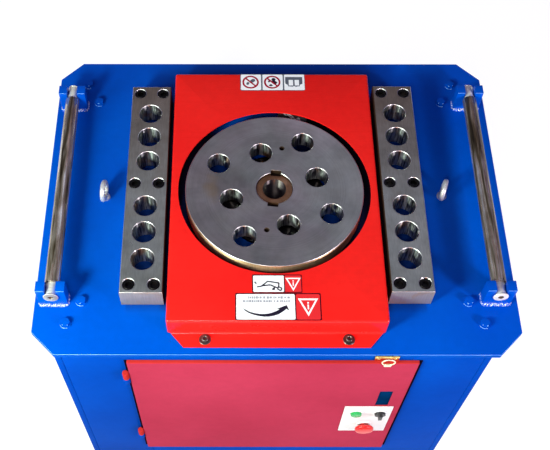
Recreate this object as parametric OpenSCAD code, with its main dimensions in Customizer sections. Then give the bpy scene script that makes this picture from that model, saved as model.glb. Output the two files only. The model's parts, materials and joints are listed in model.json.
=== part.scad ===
// Rebar bender: a steel deck with a turning work disc between two bars of pin
// holes and two guide rollers. A sheet cabinet under the deck holds the motor,
// the belts and a three-stage gearbox that turns the disc.
// Frame: +X to the right, +Y away from the operator, +Z up. The origin is on
// the floor, on the axis of the disc.

/* [Deck] */
// Width of the deck plate, left to right
deck_w = 910; // [900:5:930]
// Distance from the disc axis to the front edge of the deck
deck_front = 332; // [328:1:336]
// Distance from the disc axis to the back edge of the deck
deck_back = 360; // [356:1:366]
// Height of the deck's top above the floor
deck_h = 700; // [700:10:760]
// Thickness of the deck plate
deck_t = 12; // [10:1:14]
// Leg of the cut corners
corner_cut = 45; // [30:1:60]

/* [Work disc] */
// Diameter of the work disc
disc_d = 350; // [340:2:356]
// Thickness of the work disc
disc_t = 40; // [36:1:42]
// Height of the disc's top face above the deck
disc_top = 50; // [48:1:56]
// Pitch of the square grid of pin holes in the disc
disc_pitch = 88; // [84:1:92]
// Diameter of the pin holes in the disc and in the bars
pin_hole_d = 45; // [40:1:46]
// Angle at which the disc's hole grid rests
disc_angle = 16.8; // [0:0.2:45]

/* [Hole bars] */
// Width of one bar
bar_w = 80; // [76:1:84]
// Length of one bar
bar_l = 484; // [480:2:490]
// Height of one bar
bar_h = 50; // [46:1:52]
// Distance from the disc axis to the middle of each bar
bar_x = 251; // [250:1:256]
// Distance between neighbouring pin holes in a bar
bar_pitch = 59; // [57:0.5:61]

/* [Disc cover] */
// Width of the sheet cover around the disc
cover_w = 406; // [400:2:410]
// Height of the cover's top above the deck
cover_h = 48; // [44:1:50]
// Radius of the opening that the disc turns in
cover_r = 189; // [185:1:192]
// Thickness of the cover sheet
cover_t = 3; // [2:0.5:3]

/* [Guide rollers] */
// Diameter of a guide roller
roller_d = 28; // [24:1:32]
// Length of a guide roller
roller_l = 434; // [420:2:436]
// Distance from the disc axis to the left roller's axis
left_roller_x = 418; // [415:1:419]
// Distance from the disc axis to the right roller's axis
right_roller_x = 414; // [411:1:416]
// Height of the roller axis above the deck
roller_z = 36; // [34:1:40]

/* [Cabinet] */
// Width of the cabinet
cabinet_w = 805; // [800:1:808]
// Middle of the cabinet, left (-) or right (+) of the disc axis
cabinet_x = -7; // [-9:1:-6]
// Distance from the disc axis to the back of the cabinet
cabinet_back = 350; // [340:1:356]
// Thickness of the cabinet sheets
sheet_t = 3; // [2:0.5:4]
// Width of the door
door_w = 542; // [538:1:544]
// Middle of the door, left (-) or right (+) of the disc axis
door_x = -7; // [-10:1:-6]
// How far the door's face stands in front of the cabinet
door_proud = 8; // [7:0.5:9]

/* [Hidden] */
round_fn = 64;
small_fn = 32;
mid_y = (deck_back - deck_front) / 2; // middle of the deck and of the right bar and roller
left_shift = 2.5; // the left bar and roller lie this much nearer to the front
function bar_y(x) = x < 0 ? mid_y - left_shift : mid_y;
deck_bottom = deck_h - deck_t;
disc_top_z = deck_h + disc_top;
disc_bottom_z = disc_top_z - disc_t;
slip = 0.05; // radial clearance of a running fit
pin_r = pin_hole_d / 2;
bar_hole_y = 53; // from the middle of a bar to its nearest pin holes

// Fasteners of the deck and the cover, and the lifting eyes: [X, Y from the middle, turn about Z]
deck_bolt_r = 4;
cover_screw_r = 4;
cover_screw_x = 132.5;
cover_screw_y = -303;
eye_places = [[-338, -4, -5], [338, -1, -18]];
eye_shank_r = 6;

// Fasteners of the bars: M14 socket screws in counterbores
screw_head_r = 10.5;
screw_sink_r = 11.5;
screw_shank_r = 6.95;
screw_hole_r = 7.5;
screw_head_h = 14;
screw_dx = 23.5;
screw_rows = [-224, 0, 224];

// Base of the cabinet
frame_low = 110; // underside of the base tubes
tube = 40;
floor_top = frame_low + tube + sheet_t;
door_top = deck_h - 22;
cab_left = cabinet_x - cabinet_w / 2;
cab_right = cabinet_x + cabinet_w / 2;
louvre = [120, 8]; // width and height of a louvre slot
louvre_x = 240;    // from the middle of the cabinet to the middle of a row
louvre_low = 470;
louvre_step = 22;
door_bottom = 175;
face_y = -deck_front; // the cabinet's front face
door_face_y = face_y - door_proud;
door_left = door_x - door_w / 2;
door_right = door_x + door_w / 2;
opening_left = door_left + 10;
opening_right = door_right - 12;
opening_low = door_bottom + 15;
opening_high = door_top - 15;

// Gear train: 25 degree full-depth teeth, each pair at its true centre distance
pressure = 25;
backlash = 0.4;
m1 = 4;
z1_pinion = 14;
z1_gear = 62;
m2 = 3;
z2_pinion = 15;
z2_gear = 60;
m3 = 2.5;
z3_pinion = 16;
z3_gear = 60;
cd1 = m1 * (z1_pinion + z1_gear) / 2; // centre distances of the three stages
cd2 = m2 * (z2_pinion + z2_gear) / 2;
cd3 = m3 * (z3_pinion + z3_gear) / 2;
shaft_c = [76, sqrt(cd1 * cd1 - 76 * 76)];
shaft_b = shaft_c - [cd2, 0];
shaft_a = shaft_b - [cd3, 0];
motor_at = [-288, -20];
angle_c = atan2(shaft_c[1], shaft_c[0]); // direction from the disc axis to shaft C

main_gear_z = 560;
main_gear_t = 55;
gear_c_z = 490;
gear_c_t = 36;
gear_b_z = 430;
gear_b_t = 32;
bridge_z = 536;
bridge_t = 16;

// Gearbox case
case_x = [-180, 185];
case_y = [-142, 238];
case_wall = 10;
case_low = 372;
case_floor = 20;
lid_low = 668;
bore_deck = 92;
neck_r = 91.5;

// Bearings: [place, bore radius, outer radius, low z, width]
main_bearing_r = [45, 70];
bearings = [
    [[0, 0], main_bearing_r[0], main_bearing_r[1], 672, 24],
    [[0, 0], 35, 62, 380, 24],
    [shaft_c, 17.5, 36, 668, 16],
    [shaft_c, 17.5, 36, 376, 16],
    [shaft_b, 15, 31, bridge_z, bridge_t],
    [shaft_b, 15, 31, 376, 16],
    [shaft_a, 15, 31, bridge_z, bridge_t],
    [shaft_a, 15, 31, 376, 16]
];

// Belt drive under the case
pulley_z = 300;
pulley_t = 42;
big_pulley_r = 100;
small_pulley_r = 45;
belt_pitch_z = [pulley_z + 12, pulley_z + 30];
groove_w = 13;
groove_depth = 12;

// Motor, standing shaft-down beside the gearbox
motor_r = 92;
motor_low = 372;
motor_high = 610;
motor_shaft_r = 14;

// Wheels
wheel_r = 50;
wheel_t = 30;
wheel_x = 320;
wheel_front = -305;
wheel_back = 325;
wheel_axle_r = 9;

// Door hinge, control plate and padlock eye
hinge_x = door_left - 6.5;
hinge_y = face_y - 7.5;
hinge_r = 6;
hinge_pin_r = 2.5;
hinge_tops = [deck_h - 68, 300];
hinge_upper = 26;
hinge_lower = 22;
plate_x = [150, 250];
plate_z = [302, 452];
plate_t = 2;
estop_at = [201, 348];
start_at = [176, 420];
selector_at = [226, 420];
eye_x = 204.5;
eye_ring_r = [11.6, 1.6]; // of the padlock ring and of its wire
hasp_x = [180, 225];
hasp_z = [deck_h - 21, deck_h - 3];
window_x = [210.5, 237];
window_z = [deck_h - 246, deck_h - 164];

// Limit switch on the deck, under the cover, in a frame whose X axis is radial
switch_angle = 78;
switch_r = [206, 240]; // distance of the switch body from the disc axis
switch_half = 30; // half the body's length
lever_pivot = [211, 14];
lever_tip = [192, -14];
lever_roller_r = 5;
lever_z = deck_h + 18;
trip_at = [63.2, 243.2]; // where the trip pins stand round the disc
trip_r = 97;

// Roller brackets and axles, measured from the bracket pair's middle
bracket = [54, 22, 54];
bracket_y = 231;
axle_r = 10;
axle_ends = [246, 249];
head_r = 14;
head_t = 4;

// Electrical box
box_y = [-60, 200];
box_z = [360, 600];

// ---------------------------------------------------------------- helpers

// Moves the children to a place in plan, at height z
module at(p, z = 0) { translate([p[0], p[1], z]) children(); }

// Repeats the children on the left and on the right, mirrored
module both_sides() {
    children();
    mirror([1, 0, 0]) children();
}

// A box from its low corner to its high corner
module block(low, high) { translate(low) cube(high - low); }

// A ring or tube on the Z axis
module tube_z(outer, inner, h) {
    difference() {
        cylinder(r = outer, h = h, $fn = round_fn);
        translate([0, 0, -1]) cylinder(r = inner, h = h + 2, $fn = round_fn);
    }
}

// A cylinder that lies along +Y from the given point
module rod_y(r, l) { rotate([-90, 0, 0]) cylinder(r = r, h = l, $fn = round_fn); }

// A cylinder on Z whose two ends have a small 45 degree edge
module eased(r, h, e) {
    rotate_extrude($fn = round_fn)
        polygon([[0, 0], [r - e, 0], [r, e], [r, h - e], [r - e, h], [0, h]]);
}

// A rectangle with round corners, from exact circles
module round_rect(x, y, r) {
    translate([x[0] + r, y[0]]) square([x[1] - x[0] - 2 * r, y[1] - y[0]]);
    translate([x[0], y[0] + r]) square([x[1] - x[0], y[1] - y[0] - 2 * r]);
    for (cx = [x[0] + r, x[1] - r], cy = [y[0] + r, y[1] - r])
        translate([cx, cy]) circle(r = r, $fn = small_fn);
}

// Involute function in radians, and the pressure angle at radius r
function inv(a) = tan(a) - a * PI / 180;
function angle_at(rb, r) = acos(min(1, rb / r));

// Half the angle that a tooth spans at radius r
function half_tooth(m, z, r) =
    90 / z - backlash / 2 / (m * z) * 180 / PI
    + (inv(pressure) - inv(angle_at(m * z / 2 * cos(pressure), r))) * 180 / PI;

// Outline of a spur gear with a tooth centred on angle 0
function gear_points(m, z) =
    let (rp = m * z / 2, rb = rp * cos(pressure), ra = rp + m, rf = rp - 1.25 * m,
         r0 = max(rb, rf), steps = [0 : 3])
    [for (i = [0 : z - 1]) each concat(
        [polar(rf, 360 / z * i - half_tooth(m, z, r0))],
        [for (k = steps) let (r = r0 + (ra - r0) * k / 3) polar(r, 360 / z * i - half_tooth(m, z, r))],
        [for (k = steps) let (r = ra - (ra - r0) * k / 3) polar(r, 360 / z * i + half_tooth(m, z, r))],
        [polar(rf, 360 / z * i + half_tooth(m, z, r0))]
    )];
function polar(r, a) = [r * cos(a), r * sin(a)];

// A spur gear with its first tooth turned to the given angle
module spur(m, z, h, turn) {
    rotate([0, 0, turn]) linear_extrude(h) polygon(gear_points(m, z));
}

// Angle that puts a gap of the second gear on a tooth of the first
function meshed(direction, teeth) = direction + 180 + 180 / teeth;

// Outline round two pulleys, r1 at the origin and r2 at distance d along +X
function belt_points(r1, r2, d, n = 40) =
    let (lean = acos((r1 - r2) / d))
    concat([for (k = [0 : n]) polar(r1, lean + (360 - 2 * lean) * k / n)],
           [for (k = [0 : n]) [d, 0] + polar(r2, -lean + 2 * lean * k / n)]);

// ---------------------------------------------------------------- deck

module deck_outline() {
    w = deck_w / 2;
    c = corner_cut;
    polygon([[-w + c, -deck_front], [w - c, -deck_front], [w, -deck_front + c], [w, deck_back - c],
             [w - c, deck_back], [-w + c, deck_back], [-w, deck_back - c], [-w, -deck_front + c]]);
}

// Places of the hex bolts that hold the deck on the frame
module at_deck_bolts() {
    for (x = [-367, 363], y = [-237, 237]) translate([x, mid_y + y, 0]) children();
    for (x = [-392.5, 387.5], y = [-283, 285]) translate([x, mid_y + y, 0]) children();
}

// Places of the screws in one bar, as plan offsets from the bar's middle
module at_bar_screws(x) {
    for (dx = [-screw_dx, screw_dx], dy = screw_rows)
        translate([x + dx, bar_y(x) + dy, 0]) children();
}

module deck_plate() color("royalblue") difference() {
    translate([0, 0, deck_bottom]) linear_extrude(deck_t) deck_outline();
    translate([0, 0, deck_bottom - 1]) cylinder(r = bore_deck, h = deck_t + 2, $fn = round_fn);
    for (x = [-bar_x, bar_x]) at_bar_screws(x)
        translate([0, 0, deck_bottom - 1]) cylinder(r = screw_shank_r + slip, h = deck_t + 2, $fn = small_fn);
    at_deck_bolts() translate([0, 0, deck_bottom - 1])
        cylinder(r = deck_bolt_r + slip, h = deck_t + 2, $fn = small_fn);
    both_sides() translate([cover_screw_x, cover_screw_y, deck_bottom - 1])
        cylinder(r = cover_screw_r + slip, h = deck_t + 2, $fn = small_fn);
    for (e = eye_places) translate([e[0], mid_y + e[1], deck_bottom - 1])
        cylinder(r = eye_shank_r + slip, h = deck_t + 2, $fn = small_fn);
}

module deck_bolts() color("royalblue") at_deck_bolts() {
    translate([0, 0, deck_h]) cylinder(r = 11, h = 1.6, $fn = small_fn);
    translate([0, 0, deck_h + 1.6]) cylinder(r = 8.6, h = 6.4, $fn = 6);
    translate([0, 0, deck_h - 30]) cylinder(r = deck_bolt_r, h = 31, $fn = small_fn);
}

module bar(x) difference() {
    block([x - bar_w / 2, bar_y(x) - bar_l / 2, deck_h], [x + bar_w / 2, bar_y(x) + bar_l / 2, deck_h + bar_h]);
    for (side = [-1, 1], k = [0 : 2]) translate([x, bar_y(x) + side * (bar_hole_y + k * bar_pitch), deck_h - 1])
        cylinder(r = pin_r, h = bar_h + 2, $fn = round_fn);
    at_bar_screws(x) {
        translate([0, 0, deck_h - 1]) cylinder(r = screw_hole_r, h = bar_h + 2, $fn = small_fn);
        translate([0, 0, deck_h + bar_h - screw_head_h - 1])
            cylinder(r = screw_sink_r, h = screw_head_h + 2, $fn = small_fn);
    }
}
module left_bar() color("dimgray") bar(-bar_x);
module right_bar() color("dimgray") bar(bar_x);

module bar_screws() color("black") for (x = [-bar_x, bar_x]) at_bar_screws(x) difference() {
    union() {
        translate([0, 0, deck_h + bar_h - screw_head_h - 1])
            cylinder(r = screw_head_r, h = screw_head_h, $fn = small_fn);
        translate([0, 0, deck_bottom - 6]) cylinder(r = screw_shank_r, h = bar_h, $fn = small_fn);
    }
    translate([0, 0, deck_h + bar_h - 8]) cylinder(r = 6.9, h = 10, $fn = 6);
}

module lifting_eyes() color("silver")
    for (e = eye_places) translate([e[0], mid_y + e[1], deck_h]) rotate([0, 0, e[2]]) {
        cylinder(r = 10, h = 5, $fn = small_fn);
        translate([0, 0, -deck_t]) cylinder(r = eye_shank_r, h = deck_t + 1, $fn = small_fn);
        translate([0, 0, 4]) cylinder(r1 = 9, r2 = 6, h = 5, $fn = small_fn);
        translate([0, 0, 25]) rotate([0, 90, 0]) rotate_extrude($fn = round_fn)
            translate([17, 0]) circle(r = 5.8, $fn = small_fn);
    }

// ---------------------------------------------------------------- disc cover

cover_front = -288;
cover_back = 291;
foot_reach = 30; // how far the foot stands out in front of the cover

module disc_cover() color("red") {
    w = cover_w / 2;
    low = deck_h + 0.2;
    difference() {
        block([-w, cover_front, low], [w, cover_back, deck_h + cover_h]);
        block([-w + cover_t, cover_front + cover_t, deck_h - 1],
              [w - cover_t, cover_back - cover_t, deck_h + cover_h - cover_t]);
        translate([0, 0, deck_h + cover_h - cover_t - 1]) cylinder(r = cover_r, h = cover_t + 2, $fn = 96);
    }
    // The foot is a strip along the front wall
    y = cover_front - 0.02;
    difference() {
        translate([0, 0, low]) linear_extrude(cover_t)
            polygon([[w - 5, y], [w - 5 - foot_reach * 0.87, y - foot_reach],
                     [-w + 5 + foot_reach * 0.87, y - foot_reach], [-w + 5, y]]);
        both_sides() translate([cover_screw_x, cover_screw_y, deck_h - 1]) {
            cylinder(r = 5, h = 8, $fn = small_fn);
            translate([-6, -5, 0]) cube([12, 10, 8]);
        }
    }
}

module cover_screws() color("dimgray") both_sides() translate([cover_screw_x, cover_screw_y, deck_h]) {
    translate([0, 0, cover_t + 0.2]) tube_z(11, cover_screw_r, 1.6);
    difference() {
        union() {
            translate([0, 0, cover_t + 1.8]) eased(6.5, 6, 0.6);
            translate([0, 0, -deck_t]) cylinder(r = cover_screw_r, h = deck_t + 6, $fn = small_fn);
        }
        translate([0, 0, cover_t + 4]) cylinder(r = 3.5, h = 6, $fn = 6);
    }
}

// ---------------------------------------------------------------- rollers

module at_rollers() {
    translate([-left_roller_x, mid_y - left_shift, deck_h + roller_z]) children();
    translate([right_roller_x, mid_y, deck_h + roller_z]) children();
}

module roller_brackets() color("royalblue") at_rollers() for (s = [-1, 1])
    translate([0, s * bracket_y, 0]) difference() {
        translate([-bracket[0] / 2, -bracket[1] / 2, -roller_z]) cube(bracket);
        translate([0, -bracket[1] / 2 - 1, 0]) rod_y(axle_r + 0.2, bracket[1] + 2);
        translate([-axle_r - 0.2, -bracket[1] / 2 - 1, 0]) cube([2 * axle_r + 0.4, bracket[1] + 2, bracket[2]]);
    }

// A turned bar with a head at the front and a small lip at the back
module roller_axles() color("tan") at_rollers() difference() {
    union() {
        translate([0, -axle_ends[0], 0]) rod_y(axle_r, axle_ends[0] + axle_ends[1]);
        translate([0, -axle_ends[0], 0]) rod_y(head_r, head_t);
        translate([0, axle_ends[1] - 2, 0]) rod_y(axle_r + 0.8, 2);
    }
    translate([0, -axle_ends[0] - 1, 0]) rod_y(3, 7);
}

module roller() difference() {
    translate([0, -roller_l / 2, 0]) rod_y(roller_d / 2, roller_l);
    translate([0, -roller_l / 2 - 1, 0]) rod_y(axle_r + slip, roller_l + 2);
}
module left_roller() color("darkkhaki") translate([-left_roller_x, mid_y - left_shift, deck_h + roller_z]) roller();
module right_roller() color("darkkhaki") translate([right_roller_x, mid_y, deck_h + roller_z]) roller();

// ---------------------------------------------------------------- cabinet

// Four base rails, and an angle post in each corner that carries the deck
module welded_frame() color("royalblue") translate([cabinet_x, 0, 0]) {
    x = cabinet_w / 2 - sheet_t;
    y0 = face_y + sheet_t;
    y1 = cabinet_back - sheet_t;
    gap = 0.3;
    for (y = [y0, y1 - tube]) block([-x, y, frame_low], [x, y + tube, frame_low + tube]);
    for (s = [-1, 1]) block([s > 0 ? x - tube : -x, y0 + tube + gap, frame_low],
                            [s > 0 ? x : -x + tube, y1 - tube - gap, frame_low + tube]);
    post = floor_top + gap;
    for (s = [0, 1], t = [0, 1]) mirror([s, 0, 0]) translate([0, 0, post])
        linear_extrude(deck_bottom - gap - post)
            translate([x - tube, t == 0 ? y0 : y1]) mirror([0, t, 0])
                polygon([[0, 0], [tube, 0], [tube, tube], [tube - 4, tube], [tube - 4, 4], [0, 4]]);
}

module side_panels() color("royalblue") translate([cabinet_x, 0, 0]) both_sides() {
    x = cabinet_w / 2;
    block([x - sheet_t, face_y, frame_low], [x, cabinet_back - sheet_t, deck_bottom - 0.2]);
    block([x - 12, face_y, frame_low], [x - sheet_t + 0.1, face_y + sheet_t, deck_bottom - 0.2]);
}

module back_panel() color("royalblue") difference() {
    block([cab_left, cabinet_back - sheet_t + 0.1, frame_low], [cab_right, cabinet_back, deck_bottom - 0.2]);
    for (side = [-1, 1], k = [0 : 6])
        translate([cabinet_x + side * louvre_x - louvre[0] / 2, cabinet_back - 10, louvre_low + k * louvre_step])
            cube([louvre[0], 20, louvre[1]]);
}

module front_panels() color("royalblue") {
    x = [cab_left + 12.6, cab_right - 12.6];
    y = [face_y, face_y + sheet_t];
    block([x[0], y[0], frame_low], [opening_left, y[1], deck_bottom - 0.2]);
    block([opening_right, y[0], frame_low], [x[1], y[1], deck_bottom - 0.2]);
    block([opening_left + 0.2, y[0], opening_high], [opening_right - 0.2, y[1], deck_bottom - 0.2]);
    block([opening_left + 0.2, y[0], frame_low], [opening_right - 0.2, y[1], opening_low]);
}

module bottom_pan() color("royalblue") translate([cabinet_x, 0, 0]) {
    x = cabinet_w / 2 - sheet_t - 0.2;
    block([-x, face_y + sheet_t + 0.2, frame_low + tube], [x, cabinet_back - sheet_t - 0.2, floor_top]);
}

module hasp_plate() color("gold") {
    block([hasp_x[0], face_y - 2, hasp_z[0]], [hasp_x[1], face_y, hasp_z[1]]);
    for (x = [hasp_x[0] + 7, hasp_x[1] - 7]) translate([x, face_y - 3.4, hasp_z[0] + 10]) rod_y(3, 3);
}

// ---------------------------------------------------------------- door

module door_panel() color("crimson") {
    t = 2;
    back = face_y - 1;
    difference() {
        block([door_left, door_face_y, door_bottom], [door_right, back, door_top]);
        block([door_left + t, door_face_y + t, door_bottom + t], [door_right - t, back + 1, door_top - t]);
        for (p = [estop_at, start_at, selector_at]) translate([p[0], door_face_y - 1, p[1]]) rod_y(12, t + 2);
        block([window_x[0], door_face_y - 1, window_z[0]], [window_x[1], door_face_y + t + 1, window_z[1]]);
    }
}

module door_window() color("midnightblue") {
    block([window_x[0] - 3, door_face_y + 2, window_z[0] - 3], [window_x[1] + 3, door_face_y + 5, window_z[1] + 3]);
}

module door_hinges() color("crimson") for (top = hinge_tops) {
    difference() {
        union() {
            translate([hinge_x, hinge_y, top - hinge_upper]) eased(hinge_r, hinge_upper, 1);
            block([hinge_x, hinge_y - 0.5, top - hinge_upper + 2], [door_left, hinge_y + 4, top - 2]);
        }
        translate([hinge_x, hinge_y, top - hinge_upper - 1])
            cylinder(r = hinge_pin_r + slip, h = hinge_upper - 4, $fn = small_fn);
    }
}

module frame_hinges() color("royalblue") for (top = hinge_tops) {
    low = top - hinge_upper - hinge_lower - 0.4;
    difference() {
        union() {
            translate([hinge_x, hinge_y, low]) eased(hinge_r, hinge_lower, 1);
            block([hinge_x - 4, hinge_y, low + 2], [hinge_x + 3, face_y, low + hinge_lower - 2]);
        }
        block([hinge_x - 10, face_y, low - 1], [hinge_x + 10, face_y + 5, low + hinge_lower + 1]);
    }
    translate([hinge_x, hinge_y, low + 10]) cylinder(r = hinge_pin_r, h = hinge_upper + 4, $fn = small_fn);
}

module padlock_eye() color("gold") {
    y = door_face_y - 1.8;
    translate([eye_x, y, door_top + 10]) rotate([90, 0, 0]) rotate_extrude($fn = round_fn)
        translate([eye_ring_r[0], 0]) circle(r = eye_ring_r[1], $fn = small_fn);
    block([eye_x - 7, door_face_y - 3, door_top - 8], [eye_x + 7, door_face_y, door_top]);
}

module control_plate() color("gainsboro") difference() {
    union() {
        block([plate_x[0], door_face_y - plate_t, plate_z[0]], [plate_x[1], door_face_y, plate_z[1]]);
        for (p = [estop_at, start_at, selector_at])
            translate([p[0], door_face_y - plate_t - 3, p[1]]) rod_y(15, 4);
    }
    for (p = [estop_at, start_at, selector_at])
        translate([p[0], door_face_y - plate_t - 6, p[1]]) rod_y(11.4, 12);
}

estop_front = -deck_back; // the front-most face lies as far out as the deck's back edge
module estop_button() color("red") translate([estop_at[0], 0, estop_at[1]]) {
    translate([0, estop_front, 0]) rotate([-90, 0, 0]) rotate_extrude($fn = round_fn)
        polygon([[0, 0], [14, 0], [18, 1.5], [20, 4.5], [20, 8], [18, 10], [0, 10]]);
    translate([0, estop_front + 9, 0]) rod_y(8, 16);
}

module start_button() color("green") translate([start_at[0], door_face_y - 10, start_at[1]])
    rotate([-90, 0, 0]) eased(11.2, 16, 0.8);

module selector_knob() color("black") translate([selector_at[0], door_face_y, selector_at[1]]) {
    translate([0, -9, 0]) rod_y(11.3, 15);
    translate([-3.5, -16, -11]) cube([7, 8, 22]);
}

// ---------------------------------------------------------------- wheels

wheel_spots = [[-wheel_x, wheel_front], [wheel_x, wheel_front], [-wheel_x, wheel_back], [wheel_x, wheel_back]];

module wheel(i) color("dimgray") translate([wheel_spots[i][0], wheel_spots[i][1] - wheel_t / 2, wheel_r])
    rotate([-90, 0, 0]) difference() {
        rotate_extrude($fn = round_fn) polygon([
            [wheel_axle_r + slip, 0], [18, 0], [20, 6], [36, 6], [39, 0], [wheel_r - 1.5, 0], [wheel_r, 1.5],
            [wheel_r, wheel_t - 1.5], [wheel_r - 1.5, wheel_t], [39, wheel_t], [36, wheel_t - 6],
            [20, wheel_t - 6], [18, wheel_t], [wheel_axle_r + slip, wheel_t]]);
    }
module wheel_front_left() wheel(0);
module wheel_front_right() wheel(1);
module wheel_back_left() wheel(2);
module wheel_back_right() wheel(3);

// Two cheeks, a top plate and the axle of each wheel
module wheel_brackets() color("royalblue") for (p = wheel_spots) translate([p[0], p[1], 0]) {
    cheek = wheel_t / 2 + 1;
    for (s = [-1, 1]) block([-25, s > 0 ? cheek : -cheek - 5, wheel_r - 16],
                            [25, s > 0 ? cheek + 5 : -cheek, frame_low - 6]);
    block([-25, -cheek - 5, frame_low - 6], [25, cheek + 5, frame_low]);
    translate([0, -cheek - 10, wheel_r]) rod_y(wheel_axle_r, 2 * cheek + 20);
}

// ---------------------------------------------------------------- gearbox

module bearings() color("silver") for (b = bearings) at(b[0], b[3]) tube_z(b[2], b[1] + slip, b[4]);

module gearbox_case() color("slategray") difference() {
    union() {
        translate([0, 0, case_low]) linear_extrude(lid_low - case_low) round_rect(case_x, case_y, 24);
        translate([0, 0, lid_low - 14]) linear_extrude(14)
            round_rect([case_x[0] - 12, case_x[1] + 12], [case_y[0] - 12, case_y[1] + 12], 30);
    }
    translate([0, 0, case_low + case_floor]) linear_extrude(lid_low - case_low)
        round_rect([case_x[0] + case_wall, case_x[1] - case_wall],
                   [case_y[0] + case_wall, case_y[1] - case_wall], 14);
    for (b = [bearings[1], bearings[3], bearings[5], bearings[7]])
        at(b[0], b[3]) cylinder(r = b[2], h = b[4] + 2, $fn = round_fn);
    at(shaft_a, case_low - 1) cylinder(r = 17, h = 10, $fn = round_fn);
}

module gearbox_lid() color("slategray") difference() {
    union() {
        translate([0, 0, lid_low]) linear_extrude(deck_bottom - lid_low)
            round_rect([case_x[0] - 12, case_x[1] + 12], [case_y[0] - 12, case_y[1] + 12], 30);
        translate([0, 0, deck_bottom - 1]) cylinder(r = neck_r, h = deck_t + 1, $fn = round_fn);
    }
    translate([0, 0, lid_low - 1]) cylinder(r = 62, h = 60, $fn = round_fn);
    translate([0, 0, 672]) cylinder(r = main_bearing_r[1], h = 24, $fn = round_fn);
    translate([0, 0, 695]) cylinder(r = 62, h = 20, $fn = round_fn);
    at(shaft_c, lid_low - 1) cylinder(r = 36, h = 17, $fn = round_fn);
}

module bearing_bridge() color("slategray") difference() {
    block([case_x[0] + case_wall, 66, bridge_z], [case_x[1] - case_wall, case_y[1] - case_wall, bridge_z + bridge_t]);
    for (b = [bearings[4], bearings[6]]) at(b[0], bridge_z - 1) cylinder(r = b[2], h = bridge_t + 2, $fn = round_fn);
    at(shaft_c, bridge_z - 1) cylinder(r = 40, h = bridge_t + 2, $fn = round_fn);
    for (x = case_x, y = [case_y[1]]) translate([x, y, bridge_z - 1])
        rotate([0, 0, 45]) cube([50, 50, 60], center = true);
}

module bearing_cover() color("black") translate([0, 0, deck_h]) tube_z(106, 60, 7);

module shaft_seal() color("black") translate([0, 0, 697]) tube_z(60, 48 + slip, 9);

// Shaft C carries the pinion that drives the disc, and the gear of the second stage
module final_pinion() color("silver") {
    at(shaft_c, main_gear_z - 5) spur(m1, z1_pinion, main_gear_t + 10, meshed(angle_c, z1_pinion));
    at(shaft_c, gear_c_z - 10) cylinder(r = 20, h = 180, $fn = round_fn);
    at(shaft_c, 377) cylinder(r = 17.5, h = 306, $fn = round_fn);
}
module second_gear() color("gray") at(shaft_c, gear_c_z) difference() {
    spur(m2, z2_gear, gear_c_t, 0);
    translate([0, 0, -1]) cylinder(r = 20, h = gear_c_t + 2, $fn = round_fn);
    for (z = [-1, gear_c_t - 9]) translate([0, 0, z]) tube_z(74, 32, 10);
}

// Shaft B
module second_pinion() color("silver") {
    at(shaft_b, gear_c_z - 3) spur(m2, z2_pinion, gear_c_t + 6, meshed(180, z2_pinion));
    at(shaft_b, 377) cylinder(r = 15, h = 174, $fn = round_fn);
}
module first_gear() color("gray") at(shaft_b, gear_b_z) difference() {
    spur(m3, z3_gear, gear_b_t, 0);
    translate([0, 0, -1]) cylinder(r = 15, h = gear_b_t + 2, $fn = round_fn);
    for (z = [-1, gear_b_t - 7]) translate([0, 0, z]) tube_z(62, 26, 8);
}

// Shaft A, driven by the belts
module input_pinion() color("silver") {
    at(shaft_a, gear_b_z - 3) spur(m3, z3_pinion, gear_b_t + 6, meshed(180, z3_pinion));
    at(shaft_a, pulley_z - 4) cylinder(r = 15, h = 255, $fn = round_fn);
}

// A pulley with one groove for each belt
module pulley(r, bore) difference() {
    cylinder(r = r, h = pulley_t, $fn = round_fn);
    translate([0, 0, -1]) cylinder(r = bore, h = pulley_t + 2, $fn = round_fn);
    for (z = belt_pitch_z) translate([0, 0, z - pulley_z]) rotate_extrude($fn = round_fn)
        polygon([[r - groove_depth, -groove_w / 2 + 3.4], [r + 1, -groove_w / 2 - 0.6],
                 [r + 1, groove_w / 2 + 0.6], [r - groove_depth, groove_w / 2 - 3.4]]);
}
module driven_pulley() color("dimgray") at(shaft_a, pulley_z) difference() {
    pulley(big_pulley_r, 15);
    for (z = [-1, pulley_t - 11]) translate([0, 0, z]) tube_z(80, 30, 12);
}
module motor_pulley() color("dimgray") at(motor_at, pulley_z) pulley(small_pulley_r, motor_shaft_r);

module drive_belts() color("black") {
    line = motor_at - shaft_a;
    span = norm(line);
    for (z = belt_pitch_z) at(shaft_a, z - 4) rotate([0, 0, atan2(line[1], line[0])]) linear_extrude(8)
        difference() {
            polygon(belt_points(big_pulley_r + 1, small_pulley_r + 1, span));
            polygon(belt_points(big_pulley_r - 7, small_pulley_r - 7, span));
        }
}

module main_gear() color("gray") translate([0, 0, main_gear_z]) difference() {
    spur(m1, z1_gear, main_gear_t, angle_c);
    translate([0, 0, -1]) cylinder(r = 40, h = main_gear_t + 2, $fn = round_fn);
    for (z = [-1, main_gear_t - 13]) translate([0, 0, z]) tube_z(102, 62, 14);
}

// ---------------------------------------------------------------- work disc

key_w = 20;
key_turn = -5.5;
socket_depth = 90; // depth of the socket for the centre pin
module main_shaft() color("saddlebrown") difference() {
    rotate_extrude($fn = round_fn) polygon([
        [0, 384], [33, 384], [35, 386], [35, 548], [52, 548], [52, main_gear_z], [40, main_gear_z],
        [40, main_gear_z + main_gear_t], [45, main_gear_z + main_gear_t], [45, 697], [48, 697],
        [48, disc_bottom_z], [36, disc_bottom_z], [36, disc_top_z - 5], [35, disc_top_z - 4], [0, disc_top_z - 4]]);
    translate([0, 0, disc_top_z - 4 - socket_depth]) cylinder(r = 23, h = socket_depth + 10, $fn = round_fn);
    rotate([0, 0, key_turn]) for (s = [-1, 1])
        translate([-key_w / 2, s > 0 ? 31 : -43, disc_bottom_z + 4]) cube([key_w, 12, 60]);
}

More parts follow.
